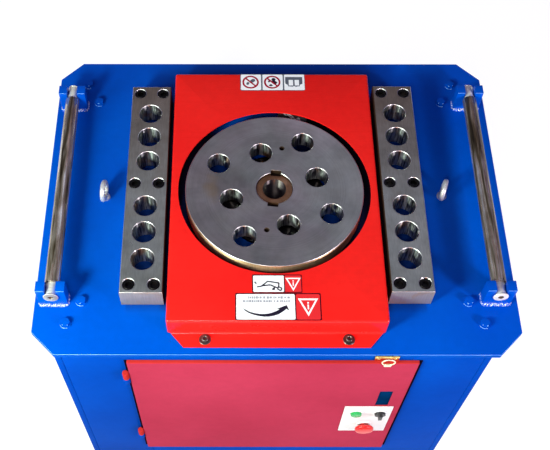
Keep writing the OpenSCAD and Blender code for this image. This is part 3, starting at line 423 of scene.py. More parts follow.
# plain looks have: colour, roughness, metallic, grain scale, grain depth, colour variation
LOOKS = {look.name: look.material for look in (
    enamel("deck_blue", *DECK_TINTS, gloss=0.2),
    # the deck top carries painted shade round the disc, by the bars and behind the cover
    enamel("deck_top", *DECK_TINTS, gloss=0.2, shaded_deck=True),
    # a darker copy of the deck paint for its upright faces: painted shade
    enamel("deck_side_shaded", (0.0, 0.068, 0.42), (0.0, 0.080, 0.48), (0.0, 0.094, 0.54), gloss=0.0),
    enamel("cabinet_blue", (0.0, 0.049, 0.36), (0.0, 0.058, 0.41), (0.0, 0.069, 0.46), 0.2, 0.05, 0.0),
    enamel("cover_red", (0.84, 0.014, 0.012), (0.90, 0.018, 0.014), (0.95, 0.022, 0.017), 0.24, 0.06, 0.2),
    # a darker, violet copy of the door paint for its upright face: painted shade and painted reflection of
    # the blue surroundings; the next line is the lit copy
    enamel("door_red", (0.38, 0.028, 0.062), (0.42, 0.033, 0.072), (0.46, 0.038, 0.082), 0.3, 0.06, 0.0),
    enamel("door_red_lit", (0.46, 0.024, 0.020), (0.51, 0.029, 0.024), (0.56, 0.034, 0.029), 0.3, 0.06, 0.0),
    # light blue for bevels that face the front: painted highlight
    plain("highlight_blue", (0.22, 0.52, 1.0), 0.22, 0.0, 60, 0.05, 0.1),
    # brighter than any steel, for chamfers: painted highlight
    plain("highlight_steel", (1.0, 0.96, 0.90), 0.34, 1.0, 60, 0.05, 0.08),
    # dark oily steel; on the hub bore, the small pin holes, the axles' centre drills and the bars' inner
    # sides it is painted shade
    plain("oily_steel", (0.06, 0.035, 0.02), 0.4, 0.6, 60, 0.2, 0.4),
    # near black for the keys in their keyways: oily, and painted shade of the recess
    plain("oil_and_shade_black", (0.022, 0.014, 0.009), 0.6, 0.0, 60, 0.2, 0.4, gloss=0.12),
    # pale red for the cover's bevels: painted highlight
    plain("highlight_red", (0.90, 0.30, 0.25), 0.35, 0.0, 60, 0.1, 0.2),
    machined("bar_steel", (0.28, 0.265, 0.245), (0.37, 0.352, 0.33), (0.48, 0.455, 0.43), 0.34, (9, 1, 9),
             55, (0.30, 0.24, 0.17), 0.85, True),
    disc_steel(),
    bored_steel("bore_steel", (0.86, 0.88, 0.86), (0.70, 0.36, 0.14), streak=0.15),
    bored_steel("shaft_bore", (0.26, 0.23, 0.22), (0.20, 0.12, 0.07), 1.0, 0.4, 0.75),
    bored_steel("sawn_steel", (0.44, 0.41, 0.40), (0.42, 0.28, 0.18), 0.6, 0.42, 0.88),
    # bronze for the disc's side wall: painted reflection of the red cover
    bored_steel("rim_steel", (0.88, 0.60, 0.33), (0.66, 0.34, 0.12), 0.8, 0.45, 0.85),
    machined("shaft_steel", (0.09, 0.035, 0.016), (0.25, 0.12, 0.06), (0.46, 0.27, 0.16), 0.36, (6, 6, 1),
             90, (0.30, 0.20, 0.03)),
    plain("cover_screws", (0.14, 0.12, 0.11), 0.36, 0.9, 60),
    plain("black_screws", (0.020, 0.018, 0.017), 0.30, 0.9, 60),
    # brighter steel inside the hex sockets: painted glints
    plain("socket_glint_steel", (0.20, 0.19, 0.18), 0.22, 1.0, 60),
    machined("axle_steel", (0.80, 0.74, 0.62), (0.98, 0.95, 0.84), (1.0, 1.0, 0.94), 0.36, (1, 6, 1), 60,
             (0.62, 0.50, 0.28), 0.3),
    plain("eye_zinc", (0.80, 0.79, 0.77), 0.30, 0.55, 60, 0.45, 0.28),
    plain("ring_zinc", (0.98, 0.84, 0.60), 0.34, 0.6, 40, 0.15, 0.15),
    plain("cover_bend", (0.90, 0.018, 0.014), 0.22, 0.0, 60, 0.05, 0.05),
    plain("yellow_zinc", (0.82, 0.60, 0.20), 0.28, 1.0, 40, 0.15, 0.2),
    machined("gear_steel", (0.24, 0.23, 0.22), (0.34, 0.33, 0.31), (0.44, 0.42, 0.40), 0.34, (1, 1, 8), 60),
    machined("bearing_steel", (0.45, 0.46, 0.48), (0.55, 0.56, 0.58), (0.66, 0.67, 0.69), 0.2, (1, 1, 8),
             80),
    plain("case_iron", (0.16, 0.19, 0.21), 0.55, 0.0, 50, 0.45, 0.18),
    # near black and unglossed: the painted shadow beside the door
    plain("gap_shadow_black", (0.006, 0.003, 0.008), 0.8, 0.0, 80, 0.2, gloss=0.0),
    plain("seal_rubber", (0.015, 0.015, 0.016), 0.6, 0.0, 80, 0.2),
    plain("belt_rubber", (0.02, 0.02, 0.022), 0.75, 0.0, 120, 0.5),
    enamel("motor_paint", (0.02, 0.09, 0.26), (0.03, 0.12, 0.33), (0.04, 0.14, 0.38), 0.3, 0.12),
    plain("fan_plastic", (0.02, 0.02, 0.02), 0.5),
    plain("box_grey", (0.55, 0.56, 0.53), 0.42, 0.0, 130, 0.25, 0.05),
    plain("switch_plastic", (0.03, 0.03, 0.034), 0.45, 0.0, 120, 0.2),
    plain("lever_plastic", (0.82, 0.82, 0.80), 0.35, 0.0, 90, 0.1, 0.04),
    plain("plate_white", (0.80, 0.81, 0.80), 0.34, 0.0, 130, 0.15, 0.03),
    # dark navy pane with no gloss: painted shade of the cabinet's inside seen through the opening
    plain("window_blue", (0.001, 0.024, 0.085), 0.16, 0.0, 30, 0.05, 0.5, gloss=0.0),
    plain("button_red", (0.72, 0.015, 0.012), 0.28, 0.0, 60, 0.06, 0.06),
    plain("button_green", (0.015, 0.40, 0.09), 0.28, 0.0, 60, 0.06, 0.08),
    plain("knob_black", (0.018, 0.018, 0.019), 0.4, 0.0, 90, 0.15),
    plain("wheel_iron", (0.06, 0.06, 0.065), 0.5, 0.3, 50, 0.5, 0.25),
    plain("wheel_zinc", (0.55, 0.56, 0.57), 0.35, 0.8, 60, 0.25, 0.15),
    weld_paint(),
    plain("vinyl_white", (0.97, 0.98, 0.98), 0.3, 0.0, 200, 0.04, 0.01),
    plain("vinyl_red", (0.76, 0.026, 0.030), 0.3, 0.0, 200, 0.04, 0.05, gloss=0.1),
    plain("vinyl_edge", (0.05, 0.002, 0.008), 0.4, 0.0, 200, 0.04, 0.2, gloss=0.05),
    plain("print_black", (0.014, 0.010, 0.024), 0.35, 0.0, 200, 0.04, 0.2, gloss=0.1),
    plain("print_grey", (0.10, 0.11, 0.14), 0.35, 0.0, 200, 0.04, 0.1, gloss=0.1),
    plain("print_pale", (0.36, 0.36, 0.40), 0.35, 0.0, 200, 0.04, 0.1, gloss=0.1),
    plain("print_red", (0.36, 0.002, 0.022), 0.32, 0.0, 200, 0.04, 0.1, gloss=0.05),
    roller_steel(),
)}
NODE_SLOT = {p["node"]: p["material_slot"] for p in frame["record"]["subparts"]}
NODE_BODY = {n: b for b, ns in frame["record"]["behaviour"]["bodies"].items() for n in ns}


# ---------------- mesh helpers

def finish_mesh(mesh, smooth=35):
    """Smooth shading, but sharp at edges over an angle in degrees."""
    mesh.shade_smooth()
    mesh.set_sharp_from_angle(angle=math.radians(smooth))


def add_piece(name, mesh, look, body, smooth=35):
    """Puts a mesh that is already in its place on a CAD body."""
    finish_mesh(mesh, smooth)
    mesh.name = name
    piece = bpy.data.objects.new(name, mesh)
    scene.collection.objects.link(piece)
    mesh.materials.clear()
    mesh.materials.append(LOOKS[look])
    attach(piece, body)
    return piece


def stand_in(name, mesh, look, node, smooth=35):
    """A piece that stands for a CAD node, on the node's own body."""
    piece = add_piece(name, mesh, look, NODE_BODY[node], smooth)
    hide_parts(node)
    return piece


def also(piece, look, test):
    """Gives a second material to the faces that pass a test of their centre and normal."""
    mesh = piece.data
    mesh.materials.append(LOOKS[look])
    index = len(mesh.materials) - 1
    for face in mesh.polygons:
        if test(face.center, face.normal):
            face.material_index = index


def from_bmesh(bm):
    """The bmesh as a mesh with its normals turned outwards."""
    mesh = bpy.data.meshes.new("mesh")
    bmesh.ops.recalc_face_normals(bm, faces=bm.faces)
    bm.to_mesh(mesh)
    bm.free()
    return mesh


def applied(shape, **modifiers):
    """The mesh that a mesh or curve gives after modifiers, each named by its type and with its settings."""
    obj = bpy.data.objects.new("temp", shape)
    scene.collection.objects.link(obj)
    for kind, settings in modifiers.items():
        modifier = obj.modifiers.new(kind, kind)
        for key, value in settings.items():
            setattr(modifier, key, value)
    graph = bpy.context.evaluated_depsgraph_get()
    mesh = bpy.data.meshes.new_from_object(obj.evaluated_get(graph))
    bpy.data.objects.remove(obj)
    return mesh


def eased(node, width, segments=2, look=None):
    """A copy of a CAD node with its sharp edges rounded. It stands for the node."""
    bm = bmesh.new()
    bm.from_mesh(NODES[node].data)
    bmesh.ops.remove_doubles(bm, verts=bm.verts, dist=1e-6)
    bmesh.ops.dissolve_limit(bm, angle_limit=math.radians(0.6), verts=bm.verts, edges=bm.edges)
    bevel = {"width": width, "segments": segments, "limit_method": "ANGLE", "angle_limit": math.radians(38)}
    mesh = applied(from_bmesh(bm), BEVEL=bevel)
    return stand_in(node + "_finished", mesh, look or NODE_SLOT[node], node)


def middle(node):
    """The middle of a node's box."""
    return [(a + b) / 2 for a, b in zip(*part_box(node))]


def ring_points(cx, cy, r, n=64):
    """Points round a circle."""
    return [(cx + r * math.cos(math.tau * k / n), cy + r * math.sin(math.tau * k / n)) for k in range(n)]


def plate(outer, holes, low, high, edge, segments=3):
    """A flat plate with rounded edges, from an outline and holes, between two heights."""
    curve = bpy.data.curves.new("plate", "CURVE")
    curve.dimensions = "2D"
    curve.fill_mode = "BOTH"
    curve.extrude = (high - low) / 2 - edge
    curve.bevel_depth = edge
    curve.bevel_resolution = segments
    curve.offset = -edge
    for points in [outer, *holes]:
        spline = curve.splines.new("POLY")
        spline.points.add(len(points) - 1)
        for target, p in zip(spline.points, points):
            target.co = (p[0], p[1], 0, 1)
        spline.use_cyclic_u = True
    mesh = applied(curve)
    mesh.transform(Matrix.Translation((0, 0, (low + high) / 2)))
    return mesh


def skin(bm, rows):
    """Joins each ring of vertices to the next with a band of faces."""
    for a, b in zip(rows, rows[1:]):
        for k in range(len(a)):
            j = (k + 1) % len(a)
            bm.faces.new((a[k], a[j], b[j], b[k]))


def lathe(profile, steps=64):
    """A turned solid on the Z axis, from (radius, height) pairs in millimetres."""
    bm = bmesh.new()
    rows = []
    for r, z in profile:
        ring = ring_points(0, 0, r * MM, steps) if r else [(0, 0)]
        rows.append([bm.verts.new((x, y, z * MM)) for x, y in ring])
    for a, b in zip(rows, rows[1:]):
        for k in range(steps):
            j = (k + 1) % steps
            corners = dict.fromkeys((a[k % len(a)], a[j % len(a)], b[j % len(b)], b[k % len(b)]))
            if len(corners) > 2:
                bm.faces.new(list(corners))
    return bm


def turned(profile, steps=64):
    """The mesh of a lathe's bmesh."""
    return from_bmesh(lathe(profile, steps))


def merge(parts):
    """Joins (mesh, matrix) pairs into one mesh."""
    out = bmesh.new()
    for mesh, matrix in parts:
        copy = mesh.copy()
        copy.transform(matrix)
        out.from_mesh(copy)
        bpy.data.meshes.remove(copy)
    return from_bmesh(out)


def shift(x, y, z):
    return Matrix.Translation((x, y, z))


def turn(axis, degrees):
    return Matrix.Rotation(math.radians(degrees), 4, axis)


def rounded_rectangle(x0, x1, y0, y1, r, n=6):
    left, right, low, high = x0 + r, x1 - r, y0 + r, y1 - r
    points = []
    for cx, cy, start in ((right, high, 0), (left, high, 90), (left, low, 180), (right, low, 270)):
        for k in range(n + 1):
            a = math.radians(start + 90 * k / n)
            points.append((cx + r * math.cos(a), cy + r * math.sin(a)))
    return points


def filled_face(bm, loops, z):
    """Fills the area between the first loop and the others, at height z. Loops are of vertices or points."""
    edges = []
    for loop in loops:
        verts = [v if isinstance(v, bmesh.types.BMVert) else bm.verts.new((*v, z)) for v in loop]
        for pair in zip(verts, verts[1:] + verts[:1]):
            edges.append(bm.edges.get(pair) or bm.edges.new(pair))
    bmesh.ops.triangle_fill(bm, edges=edges, use_beauty=True, use_dissolve=False)


def sheet(mesh, thickness, even=False):
    """Turns the largest face of an open surface up and gives the surface its thickness on the lower side."""
    if max(mesh.polygons, key=lambda p: p.area).normal.z < 0:
        mesh.flip_normals()
    return applied(mesh, SOLIDIFY={"thickness": thickness, "offset": -1, "use_even_offset": even})


def folded_pan(x, y, depth, bend, corner, holes, thickness):
    """A sheet pan with its face at z = 0, sides folded down, rounded bends and holes in the face."""
    bm = bmesh.new()
    corner_steps, bend_steps = 6, 5
    base = rounded_rectangle(x[0], x[1], y[0], y[1], corner, corner_steps)
    angles = [math.radians(start + 90 * k / corner_steps) for start in (0, 90, 180, 270)
              for k in range(corner_steps + 1)]
    bends = [math.pi / 2 * k / bend_steps for k in range(bend_steps + 1)]
    levels = [(bend * (1 - math.sin(a)), -bend * (1 - math.cos(a))) for a in bends] + [(0.0, -depth)]
    rows = [[bm.verts.new((p[0] - math.cos(a) * inset, p[1] - math.sin(a) * inset, z))
             for p, a in zip(base, angles)] for inset, z in levels]
    skin(bm, rows)
    filled_face(bm, [rows[0]] + holes, 0.0)
    bmesh.ops.remove_doubles(bm, verts=bm.verts, dist=1e-7)
    return sheet(from_bmesh(bm), thickness, True)


# ---------------- deck

def deck():
    x, y0, y1 = deck_high.x, deck_low.y, deck_high.y
    cut, shaft_hole = 45 * MM, ring_points(0, 0, 92 * MM, 96)
    outline = [(-x + cut, y0), (x - cut, y0), (x, y0 + cut), (x, y1 - cut), (x - cut, y1), (-x + cut, y1),
               (-x, y1 - cut), (-x, y0 + cut)]
    mesh = plate(outline, [shaft_hole], deck_low.z, deck_high.z, 0.6 * MM)
    piece = stand_in("deck_top", mesh, "deck_top", "deck_plate")
    # the upright faces in the darker copy: painted shade
    also(piece, "deck_side_shaded", lambda c, n: n.z < 0.5)
    # painted highlight along the deck's front top bevel
    also(piece, "highlight_blue", lambda c, n: n.y < -0.3 and 0.3 < n.z < 0.97)


def bar_screw_places(node):
    """The axes of a bar's six screws."""
    cx, cy, _ = middle(node)
    return [(cx + dx * MM, cy + dy * MM) for dx in (-23.5, 23.5) for dy in (-224, 0, 224)]


def bars():
    first, pitch = BAR_HOLES
    for side, node in ((-1, "left_bar"), (1, "right_bar")):
        low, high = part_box(node)
        cx, cy, _ = middle(node)
        holes = [ring_points(cx, cy + s * (first + pitch * k), PIN_R, 72) for s in (-1, 1) for k in range(3)]
        holes += [ring_points(x, y, 11.5 * MM, 48) for x, y in bar_screw_places(node)]
        outline = [(low.x, low.y), (high.x, low.y), (high.x, high.y), (low.x, high.y)]
        mesh = plate(outline, holes, low.z, high.z, 1.8 * MM)
        piece = stand_in(node + "_machined", mesh, "bar_steel", node)
        inner = high.x if side < 0 else low.x
        also(piece, "sawn_steel", lambda c, n: n.y < -0.9 and c.y < low.y + 1 * MM)
        also(piece, "bore_steel", lambda c, n: abs(n.z) < 0.3 and low.x + 2 * MM < c.x < high.x - 2 * MM
             and low.y + 2 * MM < c.y < high.y - 2 * MM)
        # painted highlight on the bar's chamfers
        also(piece, "highlight_steel", lambda c, n: 0.3 < n.z < 0.97)
        # dark on the bar's inner side, in the gap by the cover: painted shade
        also(piece, "oily_steel", lambda c, n: abs(c.x - inner) < 2.5 * MM and abs(n.x) > 0.3)


def socket_screw(head_r, head_h, hex_r, depth):
    """A socket head with rounded top edge and a six-sided socket, top at z = 0. Sizes are in millimetres."""
    bm = lathe([(0, -head_h), (head_r, -head_h), (head_r, -1.6), (head_r - 0.6, -0.5), (head_r - 1.6, 0),
                (hex_r * 1.18, 0)], 48)
    rim = [v for v in bm.verts if abs(v.co.z) < 1e-7 and v.co.xy.length < hex_r * 1.2 * MM]
    rim.sort(key=lambda v: math.atan2(v.co.y, v.co.x))
    hexagon = [bm.verts.new((x, y, -0.8 * MM)) for x, y in ring_points(0, 0, hex_r * MM, 6)]
    floor = [bm.verts.new((v.co.x * 0.98, v.co.y * 0.98, -depth * MM)) for v in hexagon]
    per_side = len(rim) // 6
    first = min(range(len(rim)), key=lambda i: abs(math.atan2(rim[i].co.y, rim[i].co.x)))
    for k in range(6):
        j = (k + 1) % 6
        arc = [rim[(first + k * per_side + i) % len(rim)] for i in range(per_side + 1)]
        for i in range(per_side):
            bm.faces.new((arc[i], arc[i + 1], hexagon[j if i >= per_side / 2 else k]))
        bm.faces.new((arc[per_side // 2], hexagon[j], hexagon[k]))
        bm.faces.new((hexagon[k], hexagon[j], floor[j], floor[k]))
    bm.faces.new(floor)
    return from_bmesh(bm)


def bar_screws():
    parts = []
    screw = socket_screw(10.5, 14, 6.8, 8)
    rng = random.Random(4)
    axes = [Vector(place) for node in ("left_bar", "right_bar") for place in bar_screw_places(node)]
    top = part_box("left_bar")[1].z - 1 * MM
    for axis in axes:
        parts.append((screw, shift(*axis, top) @ Matrix.Rotation(rng.uniform(0, math.tau), 4, "Z")))
    piece = stand_in("bar_screw_heads", merge(parts), "black_screws", "bar_screws")
    # painted glints inside the hex sockets
    also(piece, "socket_glint_steel", lambda c, n: abs(n.z) < 0.8 and min((c.xy - a).length for a in axes) < 8 * MM)


def hex_head(r, h):
    """A hex head with its corners turned off at 30 degrees, standing on z = 0."""
    bm = bmesh.new()
    foot, top = [], []
    flat = r * math.cos(math.pi / 6)
    for k in range(36):
        a = math.tau * k / 36
        reach = flat / math.cos((a % (math.pi / 3)) - math.pi / 6)
        drop = max(0, (reach - flat * 1.02) * math.tan(math.pi / 6))
        foot.append(bm.verts.new((reach * math.cos(a), reach * math.sin(a), 0)))
        top.append(bm.verts.new((reach * math.cos(a), reach * math.sin(a), h - drop)))
    crown = [bm.verts.new((x, y, h)) for x, y in ring_points(0, 0, r * 0.82, 36)]
    skin(bm, [foot, top, crown])
    bm.faces.new(crown)
    bm.faces.new(foot)
    return from_bmesh(bm)


def deck_bolts():
    head = hex_head(9.2 * MM, 6.2 * MM)
    washer = turned([(0, 0), (10.6, 0), (11, 0.4), (11, 1.3), (10.5, 1.7), (0, 1.7)], 48)
    parts = []
    rng = random.Random(9)
    for columns, rows in (((-367, 363), (-237, 237)), ((-392.5, 387.5), (-283, 285))):
        for x in columns:
            for dy in rows:
                place = shift(x * MM, MID_Y + dy * MM, DECK_Z)
                on_washer = place @ shift(0, 0, 1.6 * MM)
                parts.append((washer, place))
                parts.append((head, on_washer @ Matrix.Rotation(rng.uniform(0, 1), 4, "Z")))
    piece = stand_in("deck_bolt_heads", merge(parts), "deck_blue", "deck_bolts", 25)
    # painted highlight on the bolt heads' lower left faces
    also(piece, "highlight_blue", lambda c, n: n.y < -0.25 and n.x < 0.25 and 0.2 < n.z < 0.97)


# ---------------- disc and cover

def disc_holes():
    """A square grid of eight holes round the middle, turned a little."""
    pitch = 88 * MM
    grid = [Vector((i, j)) * pitch for i in (-1, 0, 1) for j in (-1, 0, 1) if i or j]
    return [Matrix.Rotation(math.radians(16.8), 2) @ place for place in grid]


def keyed_bore(r, slot_r, half_width, angle, n=96):
    """Outline of a bore with two opposite keyways."""
    half = [p for p in ring_points(0, 0, r, n)[:n // 2 + 1] if abs(p[0]) >= half_width]
    edge = math.sqrt(r * r - half_width * half_width)
    slot = [(half_width, edge), (half_width, slot_r), (-half_width, slot_r), (-half_width, edge)]
    right = [p for p in half if p[0] > 0]
    left = [p for p in half if p[0] < 0]
    outline = right + slot + left
    outline += [(-x, -y) for x, y in outline[1:-1]]
    return [tuple(Matrix.Rotation(angle, 2) @ Vector(p)) for p in outline]


def work_disc():
    holes = [ring_points(x, y, PIN_R, 72) for x, y in disc_holes()]
    pin_holes = [Vector((math.cos(a), math.sin(a))) * 97 * MM for a in map(math.radians, (80, 260))]
    holes += [ring_points(*p, 4.25 * MM, 32) for p in pin_holes]
    holes.append(keyed_bore(36 * MM, 42 * MM, 10 * MM, math.radians(-5.5)))
    mesh = plate(ring_points(0, 0, DISC_R, 192), holes, disc_low.z, disc_high.z, 1.6 * MM)
    piece = stand_in("work_disc_machined", mesh, "disc_steel", "work_disc")
    rim, boss = DISC_R - 5 * MM, 46 * MM
    also(piece, "bore_steel", lambda c, n: abs(n.z) < 0.3 and c.xy.length < rim)
    # dark walls in the hub bore and keyways: painted shade
    also(piece, "oily_steel", lambda c, n: abs(n.z) < 0.3 and c.xy.length < boss)
    # the disc's side wall in bronze: painted reflection of the red cover
    also(piece, "rim_steel", lambda c, n: abs(n.z) < 0.4 and c.xy.length > rim)
    # painted highlight on the disc's chamfers, but for the hub
    also(piece, "highlight_steel", lambda c, n: 0.3 < n.z < 0.97 and not 38.5 * MM < c.xy.length < boss)
    # dark in and round the small pin holes: painted shade
    also(piece, "oily_steel", lambda c, n: n.z < 0.97 and min((c.xy - p).length for p in pin_holes) < 7 * MM)


def disc_cover():
    w, back, front = cover_high.x, cover_high.y, -288 * MM
    half = (back - front) / 2
    hole = ring_points(0, -(front + back) / 2, 189 * MM, 160)
    mesh = folded_pan((-w, w), (-half, half), cover_high.z - DECK_Z - 0.2 * MM, 4.2 * MM, 4.6 * MM, [hole],
                      3 * MM)
    joined = merge([(mesh, shift(0, (front + back) / 2, cover_high.z)), (cover_foot(w, front), HERE)])
    piece = stand_in("disc_cover_shell", joined, "cover_red", "disc_cover")
    # painted highlight on the chamfer round the disc opening
    also(piece, "highlight_red", lambda c, n: 0.25 < n.z < 0.97 and c.xy.length < 192 * MM)
    also(piece, "cover_bend", lambda c, n: n.y < -0.15 and 0.2 < n.z < 0.985 and c.y < -280 * MM)
    # painted highlight on the foot's sloping edges
    also(piece, "highlight_red", lambda c, n: abs(n.x) > 0.25 and 0.2 < n.z < 0.97 and c.z < DECK_Z + 6 * MM)


def cover_foot(w, front):
    """The flange that turns out from the foot of the front wall, with its bend and two slots."""
    thickness, bend = 3 * MM, 5 * MM
    z = DECK_Z + 0.2 * MM + thickness

    def inset(a):
        return 5 * MM + bend * 0.87 * (1 - math.sin(a))

    near = w - inset(0)
    outline = [(near, front - bend), (w - 31 * MM, front - 30 * MM), (-w + 31 * MM, front - 30 * MM),
               (-near, front - bend)]
    slots = [rounded_rectangle(x - 11 * MM, x + 11 * MM, -308 * MM, -298 * MM, 4.99 * MM, 8)
             for x in COVER_SCREW_X]
    bm = bmesh.new()
    filled_face(bm, [outline] + slots, z)
    rows = []
    steps = 5
    for k in range(steps + 1):
        a = math.pi / 2 * k / steps
        y, up = front - bend + bend * math.sin(a), z + bend * (1 - math.cos(a))
        rows.append([bm.verts.new((-w + inset(a), y, up)), bm.verts.new((w - inset(a), y, up))])
    for a, b in zip(rows, rows[1:]):
        bm.faces.new((a[0], a[1], b[1], b[0]))
    bmesh.ops.remove_doubles(bm, verts=bm.verts, dist=1e-6)
    return sheet(from_bmesh(bm), thickness)


def cover_screws():
    washer = turned([(4, 0), (10.6, 0), (11, 0.4), (11, 1.2), (10.5, 1.6), (4, 1.6), (4, 0)], 48)
    screw = socket_screw(6.5, 6, 3.5, 3.6)
    parts = []
    for x in COVER_SCREW_X:
        place = shift(x, -303 * MM, DECK_Z + 3.2 * MM)
        parts.append((washer, place))
        parts.append((screw, place @ shift(0, 0, 7.6 * MM) @ Matrix.Rotation(0.4 + x / MM, 4, "Z")))
    stand_in("cover_screw_heads", merge(parts), "cover_screws", "cover_screws")


# ---------------- rollers

ROLLERS = ("left_roller", "right_roller")
AXLE_HEIGHT = 36 * MM
BRACKET_REACH = 231 * MM
BRACKET_HALF_WIDTH, BRACKET_HALF_DEPTH = 27 * MM, 11 * MM


def roller_places():
    """The middle of each roller, on its axis."""
    return [shift(*middle(node)) for node in ROLLERS]


def rollers():
    for node in ROLLERS:
        low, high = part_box(node)
        cx, _, cz = middle(node)
        r, length = (high.z - low.z) / 2 / MM, (high.y - low.y) / MM
        bore, edge = 10.05, 1.2
        near_end = [(bore, 0), (r - edge, 0), (r - edge * 0.3, edge * 0.3), (r, edge)]
        far_end = [(radius, length - z) for radius, z in reversed(near_end)]
        mesh = turned(near_end + far_end + [(bore, 0)])
        mesh.transform(shift(cx, low.y, cz) @ turn("X", -90))
        stand_in(node + "_drawn", mesh, "roller_steel", node)


def roller_axles():
    front, back, r, head = 246, 249, 10, 14
    near_end = [(0, 6), (2.4, 5), (4.6, 0.8), (5.4, 0), (head - 1.4, 0), (head - 0.3, 0.3), (head, 1.4),
                (head - 0.5, 2.4), (r + 1.6, 3.6), (r + 0.3, 4.6), (r, 6)]
    profile = [(0, back - 1), (1.6, back - 0.9), (2.4, back), (r - 0.4, back), (r + 0.6, back - 0.5),
               (r + 0.8, back - 1.3), (r, back - 2.2), (r, 0)]
    profile += [(radius, z - front) for radius, z in reversed(near_end)]
    axle = turned(profile, 56)
    mesh = merge([(axle, place @ turn("X", -90)) for place in roller_places()])
    piece = stand_in("roller_axles_turned", mesh, "axle_steel", "roller_axles")
    end = min(v.co.y for v in mesh.vertices)
    also(piece, "sawn_steel", lambda c, n: c.y < end + 2 * MM and n.y < -0.7)
    # dark in the centre drill at the axle's end: painted shade
    also(piece, "oily_steel", lambda c, n: end + 0.6 * MM < c.y < end + 8 * MM and n.y < -0.2
         and min((c - q.translation).xz.length for q in roller_places()) < 5 * MM)


def bracket_shape():
    """A plate with an open-topped slot, cut from bar and dressed, standing on z = 0 and centred on y = 0."""
    w, h, slot = BRACKET_HALF_WIDTH, 54 * MM, 10.3 * MM
    bottom = [(math.cos(math.radians(a)) * slot, AXLE_HEIGHT + math.sin(math.radians(a)) * slot)
              for a in range(360, 179, -12)]
    outline = [(-w, 0), (w, 0), (w, h), (slot, h)] + bottom + [(-slot, h), (-w, h)]
    mesh = plate(outline, [], -BRACKET_HALF_DEPTH, BRACKET_HALF_DEPTH, 1.0 * MM, 2)
    mesh.transform(turn("X", 90))
    return mesh


def bracket_feet():
    """The middle of each bracket's foot, on the deck."""
    return [place @ shift(0, end * BRACKET_REACH, -AXLE_HEIGHT)
            for place in roller_places() for end in (-1, 1)]


def roller_brackets():
    mesh = merge([(bracket_shape(), place) for place in bracket_feet()])
    piece = stand_in("roller_brackets_dressed", mesh, "deck_blue", "roller_brackets")
    # painted highlight on the brackets' top front edges
    also(piece, "highlight_blue", lambda c, n: n.y < -0.5 and 0.5 < n.z < 0.97 and c.z > DECK_Z + 50 * MM)


def weld_bead(start, end, radius, rng, pitch=2.4 * MM):
    """A straight bead between two points: overlapping ripples, a little uneven."""
    length = (end - start).length
    count = int(length / (0.35 * pitch))
    across = Vector((0, 0, 1)).cross((end - start).normalized())
    bm = bmesh.new()
    rows = []
    for i in range(count + 1):
        s = length * i / count
        ripple = 1 - 0.22 * ((s / pitch) % 1.0)
        fade = max(0.0, min(1, s / (1.5 * radius), (length - s) / (1.5 * radius)))
        r = radius * ripple * (1 + rng.uniform(-0.10, 0.10)) * (0.35 + 0.65 * math.sqrt(fade))
        rows.append([bm.verts.new(start.lerp(end, i / count) + across * (1.25 * x) + Vector((0, 0, z)))
                     for x, z in ring_points(0, 0, r, 12)])
    skin(bm, rows)
    bm.faces.new(rows[0])
    bm.faces.new(rows[-1])
    return from_bmesh(bm)


def bracket_welds():
    rng = random.Random(21)
    parts = []
    for foot in bracket_feet():
        corner = {(i, j): foot @ Vector((i * BRACKET_HALF_WIDTH, j * BRACKET_HALF_DEPTH, 0.6 * MM))
                  for i in (-1, 1) for j in (-1, 1)}
        for a, b, radius in (((-1, -1), (1, -1), 4.2), ((-1, 1), (1, 1), 4.2),
                             ((-1, -1), (-1, 1), 2.2), ((1, -1), (1, 1), 2.2)):
            parts.append((weld_bead(corner[a], corner[b], radius * MM, rng), HERE))
    add_piece("bracket_welds", merge(parts), "weld_paint", "root", 60)


# ---------------- lifting eyes

def torus(major, minor, n=72, m=20):
    """A ring round the Z axis."""
    bm = bmesh.new()
    rows = []
    for i in range(n):
        a = math.tau * i / n
        rows.append([bm.verts.new(((major + x) * math.cos(a), (major + x) * math.sin(a), z))
                     for x, z in ring_points(0, 0, minor, m)])
    skin(bm, rows + rows[:1])
    return from_bmesh(bm)


def lifting_eye():
    """A forged ring bolt: its ring is thicker where it meets the collar, and the two are one casting."""
    major = 17 * MM
    ring = torus(major, 5.4 * MM)
    for v in ring.vertices:
        # the lower half of the ring is fuller than the upper half
        away = Vector((v.co.x, v.co.y, 0)).normalized() * major
        full = 1.0 + 0.14 * max(0.0, v.co.x / major) - 0.10 * max(0.0, -v.co.x / major)
        v.co = away + (v.co - away) * full
    collar = turned([(0, 0), (9.2, 0), (9.9, 0.8), (9.8, 4.2), (9.0, 5.4), (7.4, 7), (6.2, 9.6), (5.4, 12),
                     (0, 13)], 48)
    eye = merge([(ring, shift(0, 0, 25 * MM) @ turn("Y", 90)), (collar, HERE)])
    return applied(eye, REMESH={"mode": "VOXEL", "voxel_size": 0.75 * MM},
                   SMOOTH={"factor": 0.5, "iterations": 6})


def lifting_eyes():
    eye = lifting_eye()
    mesh = merge([(eye, shift(x * MM, MID_Y + dy * MM, DECK_Z) @ turn("Z", yaw))
                  for x, dy, yaw in ((-338, -4, -5), (338, -1, -18))])
    stand_in("lifting_eyes_forged", mesh, "eye_zinc", "lifting_eyes", 80)


# ---------------- door and front

